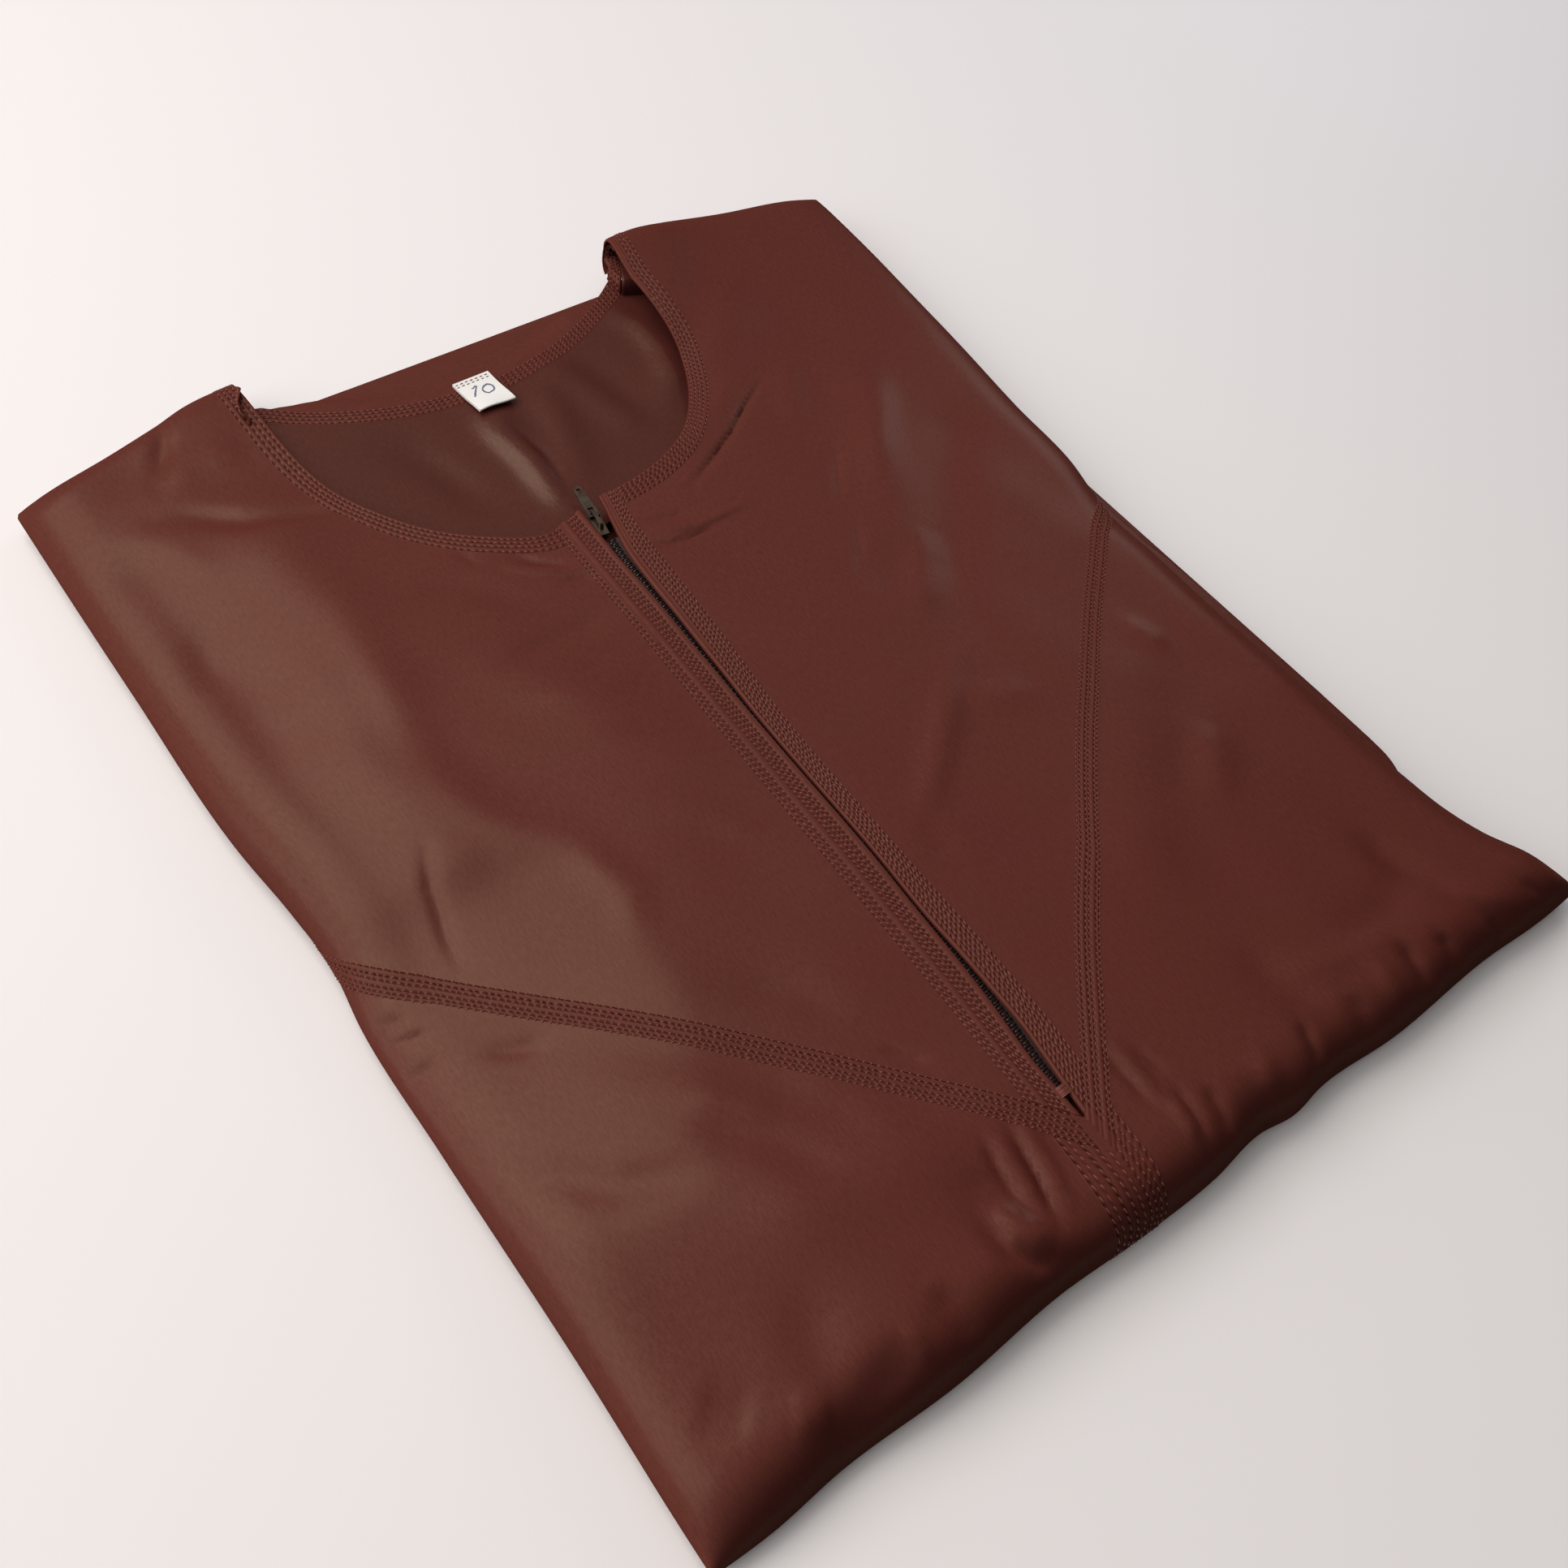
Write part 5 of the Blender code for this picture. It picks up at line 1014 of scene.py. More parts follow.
def woven_tape(name, colour):
    finish = Finish(name, Sheen_Weight=0.1)
    ribs = finish.node("ShaderNodeTexWave", {"bands_direction": "DIAGONAL"},
                       {"Vector": finish.place(), "Scale": 420.0, "Distortion": 1.0})
    shade = finish.mix(ribs, shaded(colour, 0.5), colour)
    return finish.use(Base_Color=shade, Roughness=0.75 + ribs * 0.1, Normal=finish.bump(ribs, 0.6, 0.0002))


THREAD = twisted_thread("thread", (0.18, 0.046, 0.032), 0.5, 0.3)
NYLON = twisted_thread("zip_nylon", (0.011, 0.008, 0.007), 0.35, 0.35)
METAL = worn_metal("zip_metal", (0.060, 0.040, 0.028), (0.135, 0.098, 0.068))
TAPE = woven_tape("zip_tape", (0.030, 0.012, 0.010))
print("small finishes:", THREAD.name, NYLON.name, METAL.name, TAPE.name)

# %% [markdown]
# ## The four large pieces
#
# Two yokes and two lower fronts. Each outline follows the lines where the real piece is
# sewn, and runs a little way in under the stitched bands, so that no gap shows.

# %% Make the yokes and the lower fronts


def along_rim(rim, start, end):
    """The shorter way along the closed rim between two lines that cross it."""
    loop, count = rim[:-1], len(rim) - 1
    first, _, place_first = crossing(start, rim)
    last, _, place_last = crossing(end, rim)
    forward, backward = (place_last - place_first) % count, (place_first - place_last) % count
    if forward <= backward:
        steps = np.arange(np.floor(place_first) + 1, np.floor(place_first) + 1 + count)
        inner = [loop[int(i) % count] for i in steps if (i - place_first) < forward - 1e-3]
    else:
        steps = np.arange(np.ceil(place_first) - 1, np.ceil(place_first) - 1 - count, -1)
        inner = [loop[int(i) % count] for i in steps if (place_first - i) < backward - 1e-3]
    return [first] + inner + [last]


# each stretch: the line it follows, and the lines where it starts and ends
PANELS = {}
for side, neck in (("left", "neck_outer"), ("right", "neck_outer_back")):
    strip, upper = "strip_" + side, side + "_upper"
    PANELS["front_yoke_" + side] = ((neck, "rim", strip), (strip, "neck_outer", upper),
                                    (upper, strip, "rim"), ("rim", upper, neck))
for side in ("left", "right"):
    strip, lower = "strip_" + side, side + "_lower"
    PANELS["front_panel_" + side] = ((lower, "rim", strip), (strip, lower, "rim"), ("rim", strip, lower))


def follow(name, start, end):
    """The part of a named line between two others."""
    if name == "rim":
        return along_rim(line["rim"], line[start], line[end])
    return stretch(line[name], line[start], line[end])


def cut_of(outline):
    """The area of a flat outline in square metres, and its width and length in metres."""
    return abs(signed_area(outline)) * MM * MM, (np.ptp(outline, axis=0) * MM).tolist()


for name, stretches in PANELS.items():
    outline = inset(outline_of(*(follow(*part) for part in stretches)), -SEAM_OVERLAP)
    keep(piece, name, shell(name, front, outline, (0.2, WALL), SATIN), node=name)
    cut_area[name] = cut_of(outline)
    print(name, len(piece[name].data.polygons), "faces, cut", round(cut_area[name][0], 4), "square metres")

# %% [markdown]
# ## Stitched bands
#
# Each band is cloth folded double and sewn down with several rows of short stitches. The
# rows pull the cloth in: a shallow groove along each row, a small pit at each needle hole,
# and a soft swell between the rows. A band is laid out between two lines, with u along it
# and v across it, so rows and stitches are simple tables.

# %% A band between two lines


def at_share(curve, share):
    """Points at shares of the length of a polyline."""
    curve = np.asarray(curve, dtype=float)
    place = run_along(curve)
    return np.stack([np.interp(np.asarray(share) * place[-1], place, curve[:, k]) for k in (0, 1)], axis=-1)


class Band:
    """A strip of cloth between two side lines, with a start and an end line across it."""

    def __init__(self, side_a, side_b, surface=front, start=None, end=None):
        self.side_a, self.side_b, self.surface = side_a, side_b, surface
        self.start = [side_a[0], side_b[0]] if start is None else start
        self.end = [side_a[-1], side_b[-1]] if end is None else end
        middle = self.flat(np.linspace(0, 1, 80), np.full(80, 0.5))
        self.length = np.sum(np.linalg.norm(np.diff(middle, axis=0), axis=1))
        width = at_share(side_a, np.linspace(0, 1, 9)) - at_share(side_b, np.linspace(0, 1, 9))
        self.width = np.mean(np.linalg.norm(width, axis=1))

    def flat(self, u, v):
        """Flat coordinates for shares along and across: a patch between four lines."""
        u, v = np.asarray(u)[..., None], np.asarray(v)[..., None]
        a, b = at_share(self.side_a, u[..., 0]), at_share(self.side_b, u[..., 0])
        c, d = at_share(self.start, v[..., 0]), at_share(self.end, v[..., 0])
        corners = ((1 - u) * (1 - v) * np.asarray(self.start[0]) + (1 - u) * v * np.asarray(self.start[-1])
                   + u * (1 - v) * np.asarray(self.end[0]) + u * v * np.asarray(self.end[-1]))
        return (1 - v) * a + v * b + (1 - u) * c + u * d - corners


def needle_holes(band, rows, seed):
    """Places of the needle holes of each row, as shares along: (share across, holes)."""
    chance = np.random.default_rng(seed)
    result = []
    for share, pitch, *first in rows:
        start = first[0] if first else 0.0
        count = max(2, int(round(band.length * (1.0 - start) / pitch)))
        uneven = np.arange(count + 1) + chance.uniform(-0.12, 0.12, count + 1)
        result.append((share, np.clip(start + (1.0 - start) * uneven / count, 0.0, 1.0)))
    return result


print("needle holes are worked out row by row")

# %% The band's shell, with grooves and pits along its rows
GROOVE_DEPTH, GROOVE_REACH = 0.24, 0.55
PIT_DEPTH, PIT_REACH = 0.55, 0.54
BAND_STEP, BAND_COLUMNS = 0.52, 24
EDGE_COLUMNS = np.array([0.012, 0.035])
# height of a band's edge, and how far in it rounds
LOOSE_EDGE, FREE_EDGE, SEWN_EDGE = (0.9, 0.7), (0.4, 1.2), (1.12, 1.2)


def band_lift(band, rows, u, v, edges):
    """Height of a band's top, and how deep each point lies in a needle hole."""
    across, along = v * band.width, u * band.length
    lift = np.full(u.shape, BAND_WALL)
    for distance, (low, reach) in ((across, edges[0]), (band.width - across, edges[1])):
        share = np.clip(distance / reach, 0.0, 1.0)
        lift -= (BAND_WALL - low) * (1 - np.sqrt(1 - (1 - share) ** 2))
    pits = np.zeros(u.shape)
    for share, holes in rows:
        off = (v - share) * band.width
        lift -= GROOVE_DEPTH * bell(off, GROOVE_REACH)
        near = np.abs(off) < 3 * PIT_REACH
        place = holes * band.length
        index = np.clip(np.searchsorted(place, along[near]), 1, len(place) - 1)
        gap = np.minimum(np.abs(along[near] - place[index]), np.abs(along[near] - place[index - 1]))
        pits[near] += bell(gap, PIT_REACH) * bell(off[near], PIT_REACH * 0.8)
    pits = np.clip(pits, 0.0, 1.0)
    return lift - PIT_DEPTH * pits, pits


def add_band(name, band, rows, edges=(LOOSE_EDGE, LOOSE_EDGE), material=SATIN_BAND, low=0.2):
    """A closed band: a fine grooved top, a plain underside and walls between."""
    count = int(band.length / BAND_STEP) + 2
    v = np.sort(np.concatenate([np.linspace(0.0, 1.0, BAND_COLUMNS), EDGE_COLUMNS, 1 - EDGE_COLUMNS]))
    uu, vv = np.meshgrid(np.linspace(0.0, 1.0, count), v, indexing="ij")
    flat = band.flat(uu, vv).reshape(-1, 2)
    lift, pits = band_lift(band, rows, uu, vv, edges)
    top = lifted(band.surface, flat, lift.ravel())
    width = len(v)
    quads, border = grid_faces(np.arange(count * width).reshape(count, width))
    bottom = lifted(band.surface, flat[border], low)
    under = np.arange(len(border)) + len(top)
    after = np.roll(np.arange(len(border)), -1)
    walls = np.stack([border, border[after], under[after], under], axis=1)
    end, side = width - 1, count - 1
    right_run = under[end:end + side + 1]
    left_run = np.concatenate([under[2 * end + side:], under[:1]])[::-1]
    floor = [[left_run[i], left_run[i + 1], right_run[i + 1], right_run[i]] for i in range(1, side - 1)]
    floor.append([*under[:end + 1], right_run[1], left_run[1]])
    floor.append([left_run[side - 1], right_run[side - 1], *under[end + side:2 * end + side + 1]])
    # for the finish: the needle pits, where it paints shade, and how far the band faces the bottom edge,
    # where it paints the fold's shade
    holes = np.concatenate([pits.ravel(), np.zeros(len(border))])
    deep = painted_shade_share(band.surface, flat)
    made = add_mesh(name, np.concatenate([top, bottom]), [*quads.tolist(), *walls.tolist(), *floor],
                    material, cloth=np.concatenate([flat, flat[border]]),
                    attributes=[("holes", holes), ("turned", np.concatenate([deep, deep[border]]))])
    return face_outwards(made)


print("groove", GROOVE_DEPTH, "mm deep, pit", PIT_DEPTH, "mm deep")

# %% [markdown]
# ## Thread
#
# A stitch is a short bent thread that comes up out of one needle hole and goes down into
# the next. Thousands of them would be slow as objects, so all the stitches of a band are one
# mesh, made from arrays: a few rings along each stitch, five points round each ring.

# %% Threads as one mesh
RING_STOPS = np.array([0.0, 0.18, 0.5, 0.82, 1.0])
RING_SIZES = np.array([0.35, 0.95, 1.0, 0.95, 0.35])
RING_POINTS = 5
THREAD_SINK = 0.25
STITCH_RADIUS, STITCH_RISE, STITCH_SHARE = 0.26, 0.22, 0.6


def threads(name, start, end, up, radius, rise, material, seed):
    """Bent threads between pairs of points, each with its own small unevenness."""
    chance = np.random.default_rng(seed)
    count = len(start)
    heading = end - start
    length = np.linalg.norm(heading, axis=1)[:, None]
    heading = heading / length
    side = unit(np.cross(up, heading))
    arch_up = np.sin(np.pi * RING_STOPS) ** 0.6
    size = (radius * chance.uniform(0.85, 1.12, count))[:, None] * RING_SIZES
    lean = chance.uniform(-0.12, 0.12, count)[:, None] * arch_up
    middle = (start[:, None] + heading[:, None] * (length * RING_STOPS)[..., None]
              + up[:, None] * ((rise + THREAD_SINK) * arch_up - THREAD_SINK)[None, :, None]
              + side[:, None] * lean[..., None])
    angles = 2 * np.pi * np.arange(RING_POINTS) / RING_POINTS
    round_ring = (np.cos(angles)[None, None, :, None] * side[:, None, None]
                  + np.sin(angles)[None, None, :, None] * up[:, None, None])
    points = middle[:, :, None] + size[:, :, None, None] * round_ring
    rings = len(RING_STOPS)
    index = np.arange(count * rings * RING_POINTS).reshape(count, rings, RING_POINTS)
    following = np.roll(index, -1, axis=2)
    quads = np.stack([index[:, :-1], following[:, :-1], following[:, 1:], index[:, 1:]], axis=-1)
    faces = [*quads.reshape(-1, 4).tolist(), *index[:, 0, ::-1].tolist(), *index[:, -1].tolist()]
    # painted fold shade for the threads, from how far each faces the bottom edge
    deep = np.repeat(ramp(-up[:, 1], *PAINTED_SHADE_FROM), rings * RING_POINTS)
    return add_mesh(name, points.reshape(-1, 3), faces, material, attributes=[("turned", deep)])


def sew(name, band, rows, seed, slant=0.0):
    """Stitches along the rows of a band, one mesh."""
    starts, ends, ups = [], [], []
    for share, holes in rows:
        gap = (holes[1:] - holes[:-1]) * (1 - STITCH_SHARE) / 2
        v = np.full(len(holes) - 1, share)
        tilt = slant / band.width / 2
        first = band.flat(holes[:-1] + gap, v - tilt)
        last = band.flat(holes[1:] - gap, v + tilt)
        starts.append(lifted(band.surface, first, BAND_WALL - GROOVE_DEPTH))
        ends.append(lifted(band.surface, last, BAND_WALL - GROOVE_DEPTH))
        ups.append(normals_of(band.surface, (first + last) / 2))
    return threads(name, *map(np.concatenate, (starts, ends, ups)), STITCH_RADIUS, STITCH_RISE, THREAD, seed)


print("a stitch has", (len(RING_STOPS) - 1) * RING_POINTS * 2, "side triangles")

# %% Make the bands and sew them
# share across, stitch length in millimetres and, where a row starts later, its first share along
ROWS = {
    "neck_band_left": [(0.2, 2.5), (0.42, 2.6), (0.64, 2.5), (0.9, 2.7)],
    "neck_band_right": [(0.14, 2.7, 0.3), (0.32, 2.5, 0.2), (0.5, 2.6, 0.1), (0.7, 2.6), (0.92, 2.5)],
    "seam_band_left": [(0.05, 2.45, 0.02), (0.27, 2.4, 0.02), (0.42, 2.3, 0.02), (0.64, 2.3, 0.02),
                       (0.8, 2.3, 0.02), (0.95, 2.4, 0.02)],
    "seam_band_right": [(0.05, 2.4, 0.02), (0.2, 2.4, 0.02), (0.44, 2.5, 0.02), (0.58, 2.4, 0.02),
                        (0.84, 2.4, 0.02), (0.96, 2.4, 0.02)],
    "placket_left": [(0.05, 2.5), (0.16, 2.6), (0.28, 2.5, 0.25), (0.5, 2.4), (0.6, 2.3), (0.7, 2.4),
                     (0.79, 2.3)],
    "placket_right": [(0.07, 2.6), (0.21, 2.4), (0.35, 2.5), (0.5, 2.4), (0.65, 2.4, 0.1),
                      (0.8, 2.4, 0.3)],
    "centre_band": [(0.05, 2.6), (0.15, 2.5), (0.26, 2.5), (0.38, 2.4), (0.5, 2.4), (0.62, 2.4),
                    (0.73, 2.4), (0.84, 2.5), (0.95, 2.6)],
    "neck_band_back": [(0.16, 2.6), (0.36, 2.6), (0.6, 2.6), (0.86, 2.6)],
    "facing": [(0.14, 2.5), (0.4, 2.5), (0.66, 2.5), (0.9, 2.5)],
}


def between(name_a, name_b, start, end):
    """Two named lines, each cut between the same two others."""
    return stretch(line[name_a], line[start], line[end]), stretch(line[name_b], line[start], line[end])


# how far the back's band runs on under the left side, and the points along it
UNDER_LEFT, BACK_STOPS = 8.0, 60
line["apex"] = np.array(apex_line)
centre_a = stretch(line["strip_left"], line["left_lower"], line["rim"])
centre_b = stretch(line["strip_right"], line["right_lower"], line["rim"])
seam_stops = np.linspace(NECK_MIDDLE - BACK_HALF_WIDTH - UNDER_LEFT, NECK_MIDDLE + BACK_HALF_WIDTH,
                         BACK_STOPS)
back_edge = np.stack([seam_stops, neck_seam(seam_stops)], axis=1)
band_depth = BACK_BAND * np.hypot(1.0, 0.6 * (seam_stops - NECK_MIDDLE) / BACK_HALF_WIDTH)
back_low = back_edge - np.stack([np.zeros(BACK_STOPS), band_depth], axis=1)
bands = {
    "neck_band_left": Band(*between("neck", "neck_outer", "rim", "strip_left")),
    "neck_band_right": Band(*between("neck_back", "neck_outer_back", "rim", "strip_right")),
    "seam_band_left": Band(*between("left_upper", "left_lower", "apex", "rim")),
    "seam_band_right": Band(*between("right_upper", "right_lower", "apex", "rim")),
    "placket_left": Band(*between("strip_left", "zip_left", "neck", "left_upper")),
    "placket_right": Band(*between("strip_right", "zip_right", "neck", "right_upper")),
    "centre_band": Band(centre_a, centre_b, start=np.array([centre_a[0], apex_low, centre_b[0]])),
    "neck_band_back": Band(back_edge, back_low, surface=back),
}
EDGES = {"neck": (FREE_EDGE, SEWN_EDGE), "placket": (SEWN_EDGE, FREE_EDGE)}
SLANTS = {"seam_band_left": 0.6, "seam_band_right": 0.3, "placket_left": 0.4, "placket_right": 0.3,
          "neck_band_left": 0.4, "neck_band_right": 0.3, "centre_band": 0.4}
for seed, (name, band) in enumerate(bands.items()):
    rows = needle_holes(band, ROWS[name], seed)
    edges = EDGES.get(name.split("_")[0], (SEWN_EDGE, SEWN_EDGE))
    keep(piece, name, add_band(name, band, rows, edges=edges), node=name)
    keep(thread_of, name, sew("stitches_" + name, band, rows, seed + 20, SLANTS.get(name, 0.0)))
    print(name, round(band.length), "mm long,", sum(len(holes) - 1 for _, holes in rows), "stitches")

# %% [markdown]
# ## Bar tack
#
# A few threads laid close together across the end of the slit keep it from tearing.

# %% Sew the bar tack
TACK_ENDS, TACK_PITCH, TACK_RADIUS, TACK_RISE = (-32.6, -28.2), 0.62, 0.34, 0.45
tack_along = np.arange(42.8, 46.0, TACK_PITCH)
tack_left, tack_right = (np.column_stack([np.full(len(tack_along), end), tack_along]) for end in TACK_ENDS)
tack = threads("stitches_bar_tack", lifted(front, tack_left, BAND_WALL),
               lifted(front, tack_right, BAND_WALL), normals_of(front, tack_left),
               TACK_RADIUS, TACK_RISE, THREAD, 80)
keep(thread_of, "bar_tack", tack)
print("bar tack:", len(tack_along), "threads")

# %% [markdown]
# ## The inside of the back
#
# One more shell on its own surface, down to where the front covers it.

# %% Make the inside of the back
half_width = NECK_HALF_WIDTH * BACK_MARGIN
angles = np.radians(np.linspace(180.0, 360.0, 90))
under_x = NECK_MIDDLE + half_width * np.cos(angles)
under_y = NECK_TOP + smooth(NECK_DROPS, under_x) * BACK_MARGIN * np.sin(angles)
corner_y = BACK_NECK_LINE - 3.0
under_neck = [(NECK_MIDDLE - half_width, corner_y), *np.stack([under_x, under_y], axis=1),
              (NECK_MIDDLE + half_width, corner_y), (back_low[-1, 0], corner_y)]
back_outline = outline_of(stepped(under_neck), back_low[::-1], [(back_low[0, 0], corner_y)])
inside_back = shell("back_panel", back, back_outline, (0.1, WALL), SATIN_INSIDE)
keep(piece, "back_panel", inside_back, node="back_panel")
cut_area["back_panel"] = cut_of(back_outline)
print("inside of the back:", len(piece["back_panel"].data.polygons), "faces")

# %% [markdown]
# ## The neck edge over the shoulders
#
# At each shoulder the neck band runs over the fold and down to the back's band. On the right
# the cloth stands up in an arch, so the inner side of that stretch shows, rows of stitches
# and all. It is a strip between two curves in space.

# %% Make the two short strips
FACING_TURNS = np.radians([15.0, 50.0, 85.0, 120.0])
FACING_LIFT, STRIP_LOW = -0.9, 0.5


def over_shoulder(edge, end, side):
    """A curve from under the front's fold down to an end point on the back."""
    half = edge[edge[:, 0] > NECK_MIDDLE] if side == "right" else edge[edge[:, 0] < NECK_MIDDLE][::-1]
    along = flat_edge("top", FACING_TURNS)
    across = np.interp(along, half[:, 1], half[:, 0])
    points = lifted(front, np.stack([across, along], axis=1), FACING_LIFT)
    last = lifted(back, np.array([end]), 1.0)
    points = np.concatenate([points, last + [0.0, 0.0, 3.0], last])
    place = run_along(points)
    return lambda share: np.stack([smooth(np.stack([place, points[:, k]], axis=1), share * place[-1])
                                   for k in range(3)], axis=-1)


def hung_between(first, second, width, run):
    """A band whose surface is drawn between two curves in space."""

    def surface(p, q):
        across, along = np.reshape(p, (-1, 1)) / width, q / run
        return first(along) * (1 - across) + second(along) * across

    return Band(np.array([[0.0, 0.0], [0.0, run]]), np.array([[width, 0.0], [width, run]]), surface=surface)


for side, index in (("left", 0), ("right", -1)):
    inner = over_shoulder(line["neck"], back_edge[index], side)
    outer = over_shoulder(line["neck_outer"], back_low[index], side)
    run = np.linalg.norm(np.diff(inner(np.linspace(0, 1, 40)), axis=0), axis=1).sum()
    strip = hung_between(*((inner, outer) if side == "left" else (outer, inner)), NECK_BAND, run)
    rows = needle_holes(strip, ROWS["facing"], 40 + index)
    name = "neck_band_over_" + side
    keep(piece, name, add_band(name, strip, rows, edges=(FREE_EDGE, FREE_EDGE), low=STRIP_LOW))
    keep(thread_of, name, sew("stitches_" + name, strip, rows, 45 + index))
    print(name, round(float(run), 1), "mm long")

# %% Make the inside of the right shoulder, beside the arch
INSIDE_WIDTH = 30.0
INSIDE_END = (108.0, 428.0)
near_edge = over_shoulder(line["neck_outer"], back_low[-1], "right")
far_edge = over_shoulder(neck_line(NECK_BAND + INSIDE_WIDTH), INSIDE_END, "right")
inside = hung_between(far_edge, near_edge, INSIDE_WIDTH, run)
keep(piece, "shoulder_inside", add_band("shoulder_inside", inside, [], material=SATIN_INSIDE, low=STRIP_LOW))
print("shoulder inside", INSIDE_WIDTH, "mm wide")

# %% [markdown]
# ## Folded layers below
#
# What is folded under shows only at its edges, as a thick soft stack. Its form is the
# solid's own: the mesh is copied, its triangles are joined to four-sided faces, and a
# subdivision surface rounds each fold. A slow wave along the edges keeps them uneven.

# %% Round the folded layers
# how far the top is lowered, so that it stays clear of the cloth above, and between which heights
LAYER_DROP, DROP_FROM = 1.6, (12.6, 16.0)
# the wave is kept off the flat underside and off the middle of the stack
HALF_LAYERS = (195.0, 225.0)
WAVE_OVER, WAVE_FROM = 0.5, 0.8


def layer_wave(x, y, z):
    """How far the edge of the stack moves out, in millimetres."""
    return 0.5 * np.sin(x / 21.0 + z / 1.9) * np.sin(y / 27.0 - z / 2.6) + 0.35 * np.sin((x - y) / 11.0 + z)


def round_layers():
    """A copy of the solid's mesh: a little lower on top, uneven round its edges, smooth."""
    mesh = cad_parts["folded_layers"].data.copy()
    mesh.name = "folded_layers_rounded"
    work = bmesh.new()
    work.from_mesh(mesh)
    bmesh.ops.remove_doubles(work, verts=work.verts, dist=0.00001)
    bmesh.ops.join_triangles(work, faces=work.faces, angle_face_threshold=0.7, angle_shape_threshold=1.2)
    for vert in work.verts:
        x, y, z = (value / MM for value in vert.co)
        across, along = abs(x / HALF_LAYERS[0]), abs(y / HALF_LAYERS[1])
        if z > DROP_FROM[0]:
            vert.co.z -= LAYER_DROP * MM * float(ramp(z, *DROP_FROM))
        elif z > WAVE_OVER and max(across, along) > WAVE_FROM:
            shift = float(layer_wave(x, y, z)) * MM
            if across > along:
                vert.co.x += shift
            else:
                vert.co.y += shift
    work.to_mesh(mesh)
    work.free()
    mesh.materials.clear()
    place = np.zeros(len(mesh.vertices) * 3)
    mesh.vertices.foreach_get("co", place)
    mesh.attributes.new("cloth", "FLOAT_VECTOR", "POINT").data.foreach_set("vector", place)
    mesh.materials.append(SATIN)
    mesh.shade_smooth()
    made = bpy.data.objects.new("folded_layers_rounded", mesh)
    bpy.context.scene.collection.objects.link(made)
    rounding = made.modifiers.new("rounding", "SUBSURF")
    rounding.levels = rounding.render_levels = 2
    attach(made, "garment")
    return made


keep(piece, "folded_layers", round_layers(), node="folded_layers")
print("layers:", len(piece["folded_layers"].data.polygons), "faces before rounding")

# %% [markdown]
# ## The zip
#
# Two woven tapes lie under the plackets with the closed row of nylon teeth between them.
# Each tooth is a small bar across the row, made by the thread function. The slider and its
# pull keep the shape of their solids, but a cast part has no sharp edges, so each is copied
# and a bevel rounds it. The solids themselves stay untouched.

# %% Make the tapes, the teeth, the slider and its pull
ZIP_TOP, ZIP_END = 315.0, 42.0
TAPE_INNER, TAPE_OUTER, TAPE_STEP = 1.7, 9.0, 2.4
TAPE_LIFTS = (-1.5, -1.5 + 0.8)
TOOTH_PITCH, TOOTH_HALF, TOOTH_SWING, TOOTH_LEAN = 1.15, 1.45, 0.35, 0.12
TOOTH_RADIUS, TOOTH_RISE, TOOTH_LIFT = 0.42, 0.25, -0.7
METAL_BODIES = {"zip_slider": "garment", "zip_pull": "pull_tab"}
SOFT_EDGE = 0.18 * MM


def zip_middle(y):
    """Where the middle of the zip lies at a place along the garment."""
    return smooth([(row[0], (row[2] + row[3]) / 2) for row in STRIP], y)


zip_stops = np.linspace(ZIP_END, ZIP_TOP, 120)
for name, sign in (("zip_tape_left", -1.0), ("zip_tape_right", 1.0)):
    inner, outer = (np.stack([zip_middle(zip_stops) + sign * away, zip_stops], axis=1)
                    for away in (TAPE_INNER, TAPE_OUTER))
    tape = shell(name + "_woven", front, outline_of(inner, outer[::-1]), TAPE_LIFTS, TAPE, spacing=TAPE_STEP)
    keep(piece, name, tape, name)
teeth_y = np.arange(ZIP_END, ZIP_TOP, TOOTH_PITCH)
swing = np.where(np.arange(len(teeth_y)) % 2, TOOTH_SWING, -TOOTH_SWING)
teeth_left = np.stack([zip_middle(teeth_y) - TOOTH_HALF + swing, teeth_y - TOOTH_LEAN], axis=1)
teeth_right = np.stack([zip_middle(teeth_y) + TOOTH_HALF + swing, teeth_y + TOOTH_LEAN], axis=1)
teeth = threads("zip_teeth", lifted(front, teeth_left, TOOTH_LIFT), lifted(front, teeth_right, TOOTH_LIFT),
                normals_of(front, (teeth_left + teeth_right) / 2), TOOTH_RADIUS, TOOTH_RISE, NYLON, 60)
keep(piece, "zip_coil", teeth, "zip_coil")
for name, body in METAL_BODIES.items():
    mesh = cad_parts[name].data.copy()
    mesh.materials.clear()
    mesh.materials.append(METAL)
    made = bpy.data.objects.new(name + "_softened", mesh)
    bpy.context.scene.collection.objects.link(made)
    soften = made.modifiers.new("soft_edges", "BEVEL")
    soften.width, soften.segments, soften.limit_method = SOFT_EDGE, 2, "ANGLE"
    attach(made, body)
    keep(piece, name, made, name)
print("teeth:", len(teeth_y))

# %% [markdown]
# ## The size label
#
# A short loop of white tape, folded at its lower end and caught in the neck band's stitches
# at the top. It carries a plain size number in blue ink. The material paints it from three
# simple shapes on the label's own coordinates, a stroke with a short flag and a ring, so no
# picture is needed.

# %% Make the label
LABEL = {"across": -13.2, "top": 425.6, "width": 17.0, "length": 21.0, "lift": 1.75, "rise": 1.2,
         "curl": 0.5}
LABEL_TURN = np.radians(1.0)
# thickness of the tape, half the height of the loop, and height of its top for the stitches
LABEL_THICK, LABEL_GAP, LABEL_ROOF = 0.3, 0.42, 1.0
LABEL_RUN, LABEL_ACROSS = 24, 15


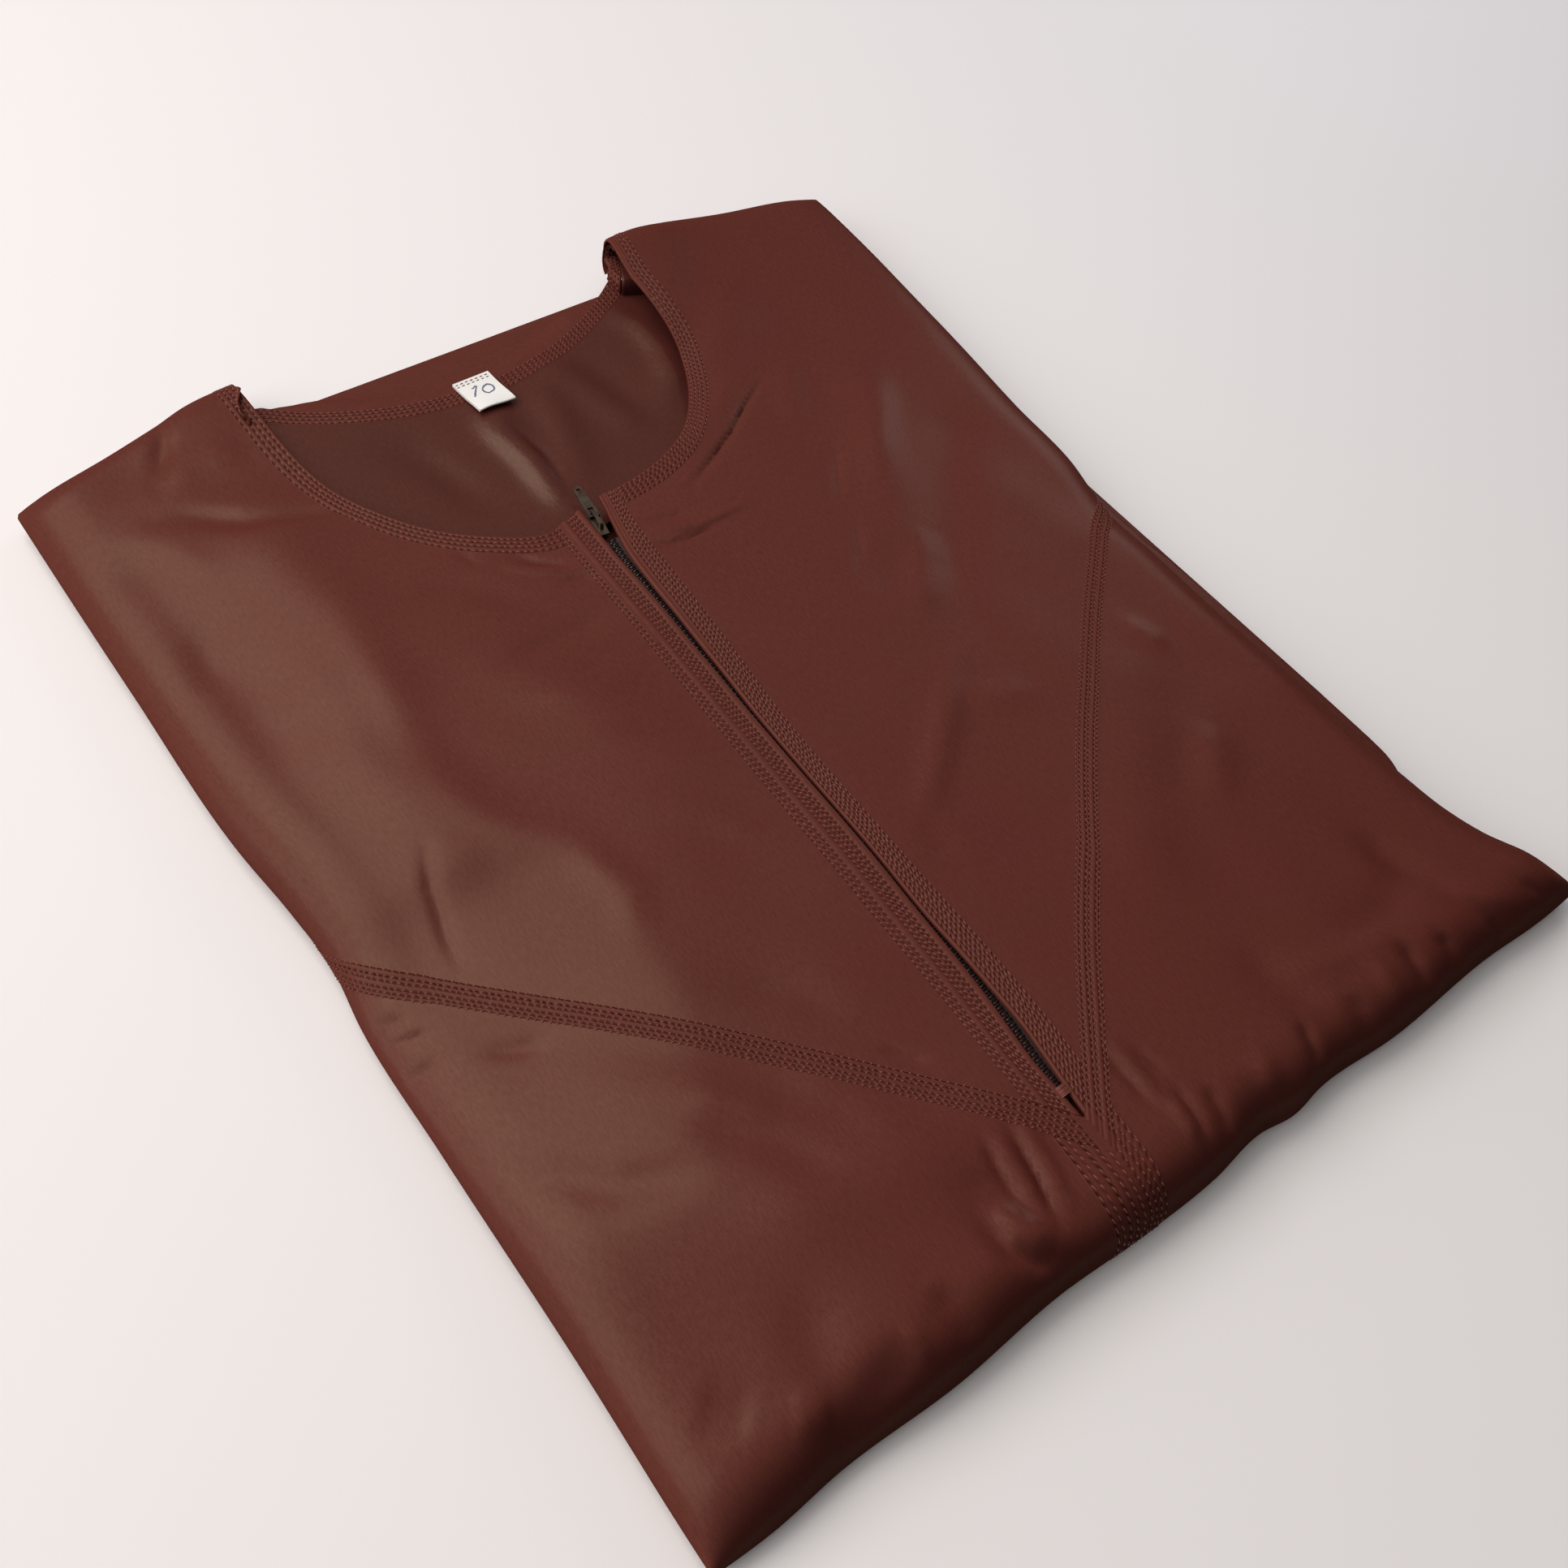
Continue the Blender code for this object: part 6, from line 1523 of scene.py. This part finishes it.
def ink_label():
    """White ribbed tape with the number drawn on it."""
    finish = Finish("label_white", Sheen_Weight=0.1)
    across, along = finish.number("label_x"), finish.number("label_y") + 10.5
    wobble = (finish.noise(finish.place(), 420.0, 1.0) - 0.5) * 0.9
    x = across * 0.84 - along * 0.53 + wobble
    y = across * 0.38 + along * 0.63 - wobble
    stroke = ((x + 3.1 - y * 0.1).math("ABSOLUTE") < 0.36) * ((y + 0.3).math("ABSOLUTE") < 2.9)
    flag = ((x + 3.9 - (y - 1.9) * 0.9).math("ABSOLUTE") < 0.5) * ((y - 1.9).math("ABSOLUTE") < 0.8)
    ring_x, ring_y = (x - 1.9) / 2.3, (y - 1.2) / 2.2
    ring = ((ring_x * ring_x + ring_y * ring_y) ** 0.5 - 1).math("ABSOLUTE") < 0.16
    ink = stroke.math("MAXIMUM", ring).math("MAXIMUM", flag)
    ribs = finish.node("ShaderNodeTexWave", {"bands_direction": "X"},
                       {"Vector": finish.place(), "Scale": 700.0, "Distortion": 0.6})
    colour = finish.mix(ribs * 0.25, (0.80, 0.79, 0.75), (0.68, 0.67, 0.63))
    colour = finish.mix(ink * 0.9, colour, (0.045, 0.05, 0.14))
    return finish.use(Base_Color=colour, Roughness=0.7 + ribs * 0.1, Normal=finish.bump(ribs, 0.3, 0.0001))


def label_place(x, y):
    """Flat places on the back for places on the label, whose sewn end is at y = 0."""
    turn = np.array([[np.cos(LABEL_TURN), -np.sin(LABEL_TURN)], [np.sin(LABEL_TURN), np.cos(LABEL_TURN)]])
    return np.column_stack([x, y]) @ turn.T + np.array([LABEL["across"], LABEL["top"]])


def label_rise(y):
    """How the label lifts off the back towards its fold."""
    return LABEL["rise"] * ramp(-y, 2.0, LABEL["length"])


def add_label():
    """A folded loop: down along the top layer, round the lower fold and back below."""
    run = np.linspace(0.0, LABEL["length"], LABEL_RUN)
    bend = np.linspace(0.0, np.pi, 9)[1:-1]
    line_y = np.concatenate([-run, -LABEL["length"] - LABEL_GAP * np.sin(bend), -run[::-1]])
    line_z = np.concatenate([np.full(LABEL_RUN, LABEL_GAP * 2), LABEL_GAP + LABEL_GAP * np.cos(bend),
                             np.zeros(LABEL_RUN)])
    path = np.stack([line_y, line_z], axis=1)
    heading = unit(np.gradient(path, axis=0))
    off = np.stack([heading[:, 1], -heading[:, 0]], axis=1) * LABEL_THICK / 2
    x = np.linspace(-LABEL["width"] / 2, LABEL["width"] / 2, LABEL_ACROSS)
    layers = []
    for side in (1.0, -1.0):
        y, z = (path - side * off).T
        yy, xx = np.meshgrid(y, x, indexing="ij")
        zz = np.meshgrid(z, x, indexing="ij")[0]
        curl = LABEL["curl"] * bell(xx - LABEL["width"] / 2, 5.0) * ramp(-yy, 8.0, LABEL["length"])
        layers.append(np.stack([xx, yy, zz + (label_rise(yy) + curl)], axis=-1))
    flat = np.concatenate([layer.reshape(-1, 3) for layer in layers])
    size = len(flat) // 2
    quads, border = grid_faces(np.arange(size).reshape(layers[0].shape[:2]))
    after = np.roll(border, -1)
    walls = np.stack([border, after, after + size, border + size], axis=1)
    faces = np.concatenate([quads, quads[:, ::-1] + size, walls]).tolist()
    place = label_place(flat[:, 0], flat[:, 1])
    height = back(place[:, 0], place[:, 1])[:, 2] + LABEL["lift"] + flat[:, 2]
    made = add_mesh("size_label_loop", np.column_stack([place, height]), faces, ink_label(),
                    attributes=[("label_x", flat[:, 0]), ("label_y", flat[:, 1])])
    return face_outwards(made)


def on_label(x, y):
    """Points on the top of the label, near its sewn end."""
    place = label_place(x, y)
    lift = LABEL["lift"] + LABEL_ROOF + label_rise(y)
    return back(place[:, 0], place[:, 1]) + np.outer(lift, [0.0, 0.0, 1.0])


keep(piece, "size_label", add_label(), "size_label")
LABEL_ROWS, LABEL_PITCH, LABEL_STITCH = (-1.5, -3.0), 2.3, 1.7
LABEL_THREAD, LABEL_THREAD_RISE = 0.22, 0.12
tack_x = np.concatenate([np.arange(-8.2, 6.0, LABEL_PITCH)] * 2)
tack_y = np.repeat(LABEL_ROWS, len(tack_x) // 2)
upright = np.tile([0.0, 0.0, 1.0], (len(tack_x), 1))
tack = threads("stitches_size_label", on_label(tack_x, tack_y), on_label(tack_x + LABEL_STITCH, tack_y),
               upright, LABEL_THREAD, LABEL_THREAD_RISE, THREAD, 70)
keep(thread_of, "size_label", tack)
print("label", LABEL["width"], "by", LABEL["length"], "mm")

# %% [markdown]
# ## What each sheet was cut to
#
# For each large piece the size of its cut is worked out and printed, and the bands and
# stitches sewn on it are gathered. The cut is the part that shows, measured from its flat
# outline, so it follows any change of the seam lines.

SEWN_ON = {
    "front_yoke_left": ["neck_band_left", "placket_left", "neck_band_over_left", "zip_tape_left",
                        "bar_tack"],
    "front_yoke_right": ["neck_band_right", "placket_right", "neck_band_over_right", "shoulder_inside",
                         "zip_tape_right"],
    "front_panel_left": ["seam_band_left", "centre_band"],
    "front_panel_right": ["seam_band_right"],
    "back_panel": ["neck_band_back"],
    "size_label": ["size_label"],
}
LEAST_SHARE = 0.301
label_width, label_length = LABEL["width"] * MM, 2 * LABEL["length"] * MM
cut_area["size_label"] = (label_width * label_length, (label_width, label_length))
for name, bands_on in SEWN_ON.items():
    area, (width, length) = cut_area[name]
    sewn = [piece[one] for one in bands_on if one != name and one in piece]
    sewn += [thread_of[one] for one in bands_on if one in thread_of]
    max(area, LEAST_SHARE * width * length)
    print(name, "cut", round(width, 3), "by", round(length, 3), "m")

# %% [markdown]
# ## Triangles
#
# The triangles of every added piece are counted, in all and in the largest one.

# %% Count the triangles
counts = {one.name: sum(len(face.vertices) - 2 for face in one.data.polygons)
          for one in bpy.data.objects if one.type == "MESH" and one.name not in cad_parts}
print("triangles", sum(counts.values()), "most in one piece", max(counts.items(), key=lambda item: item[1]))
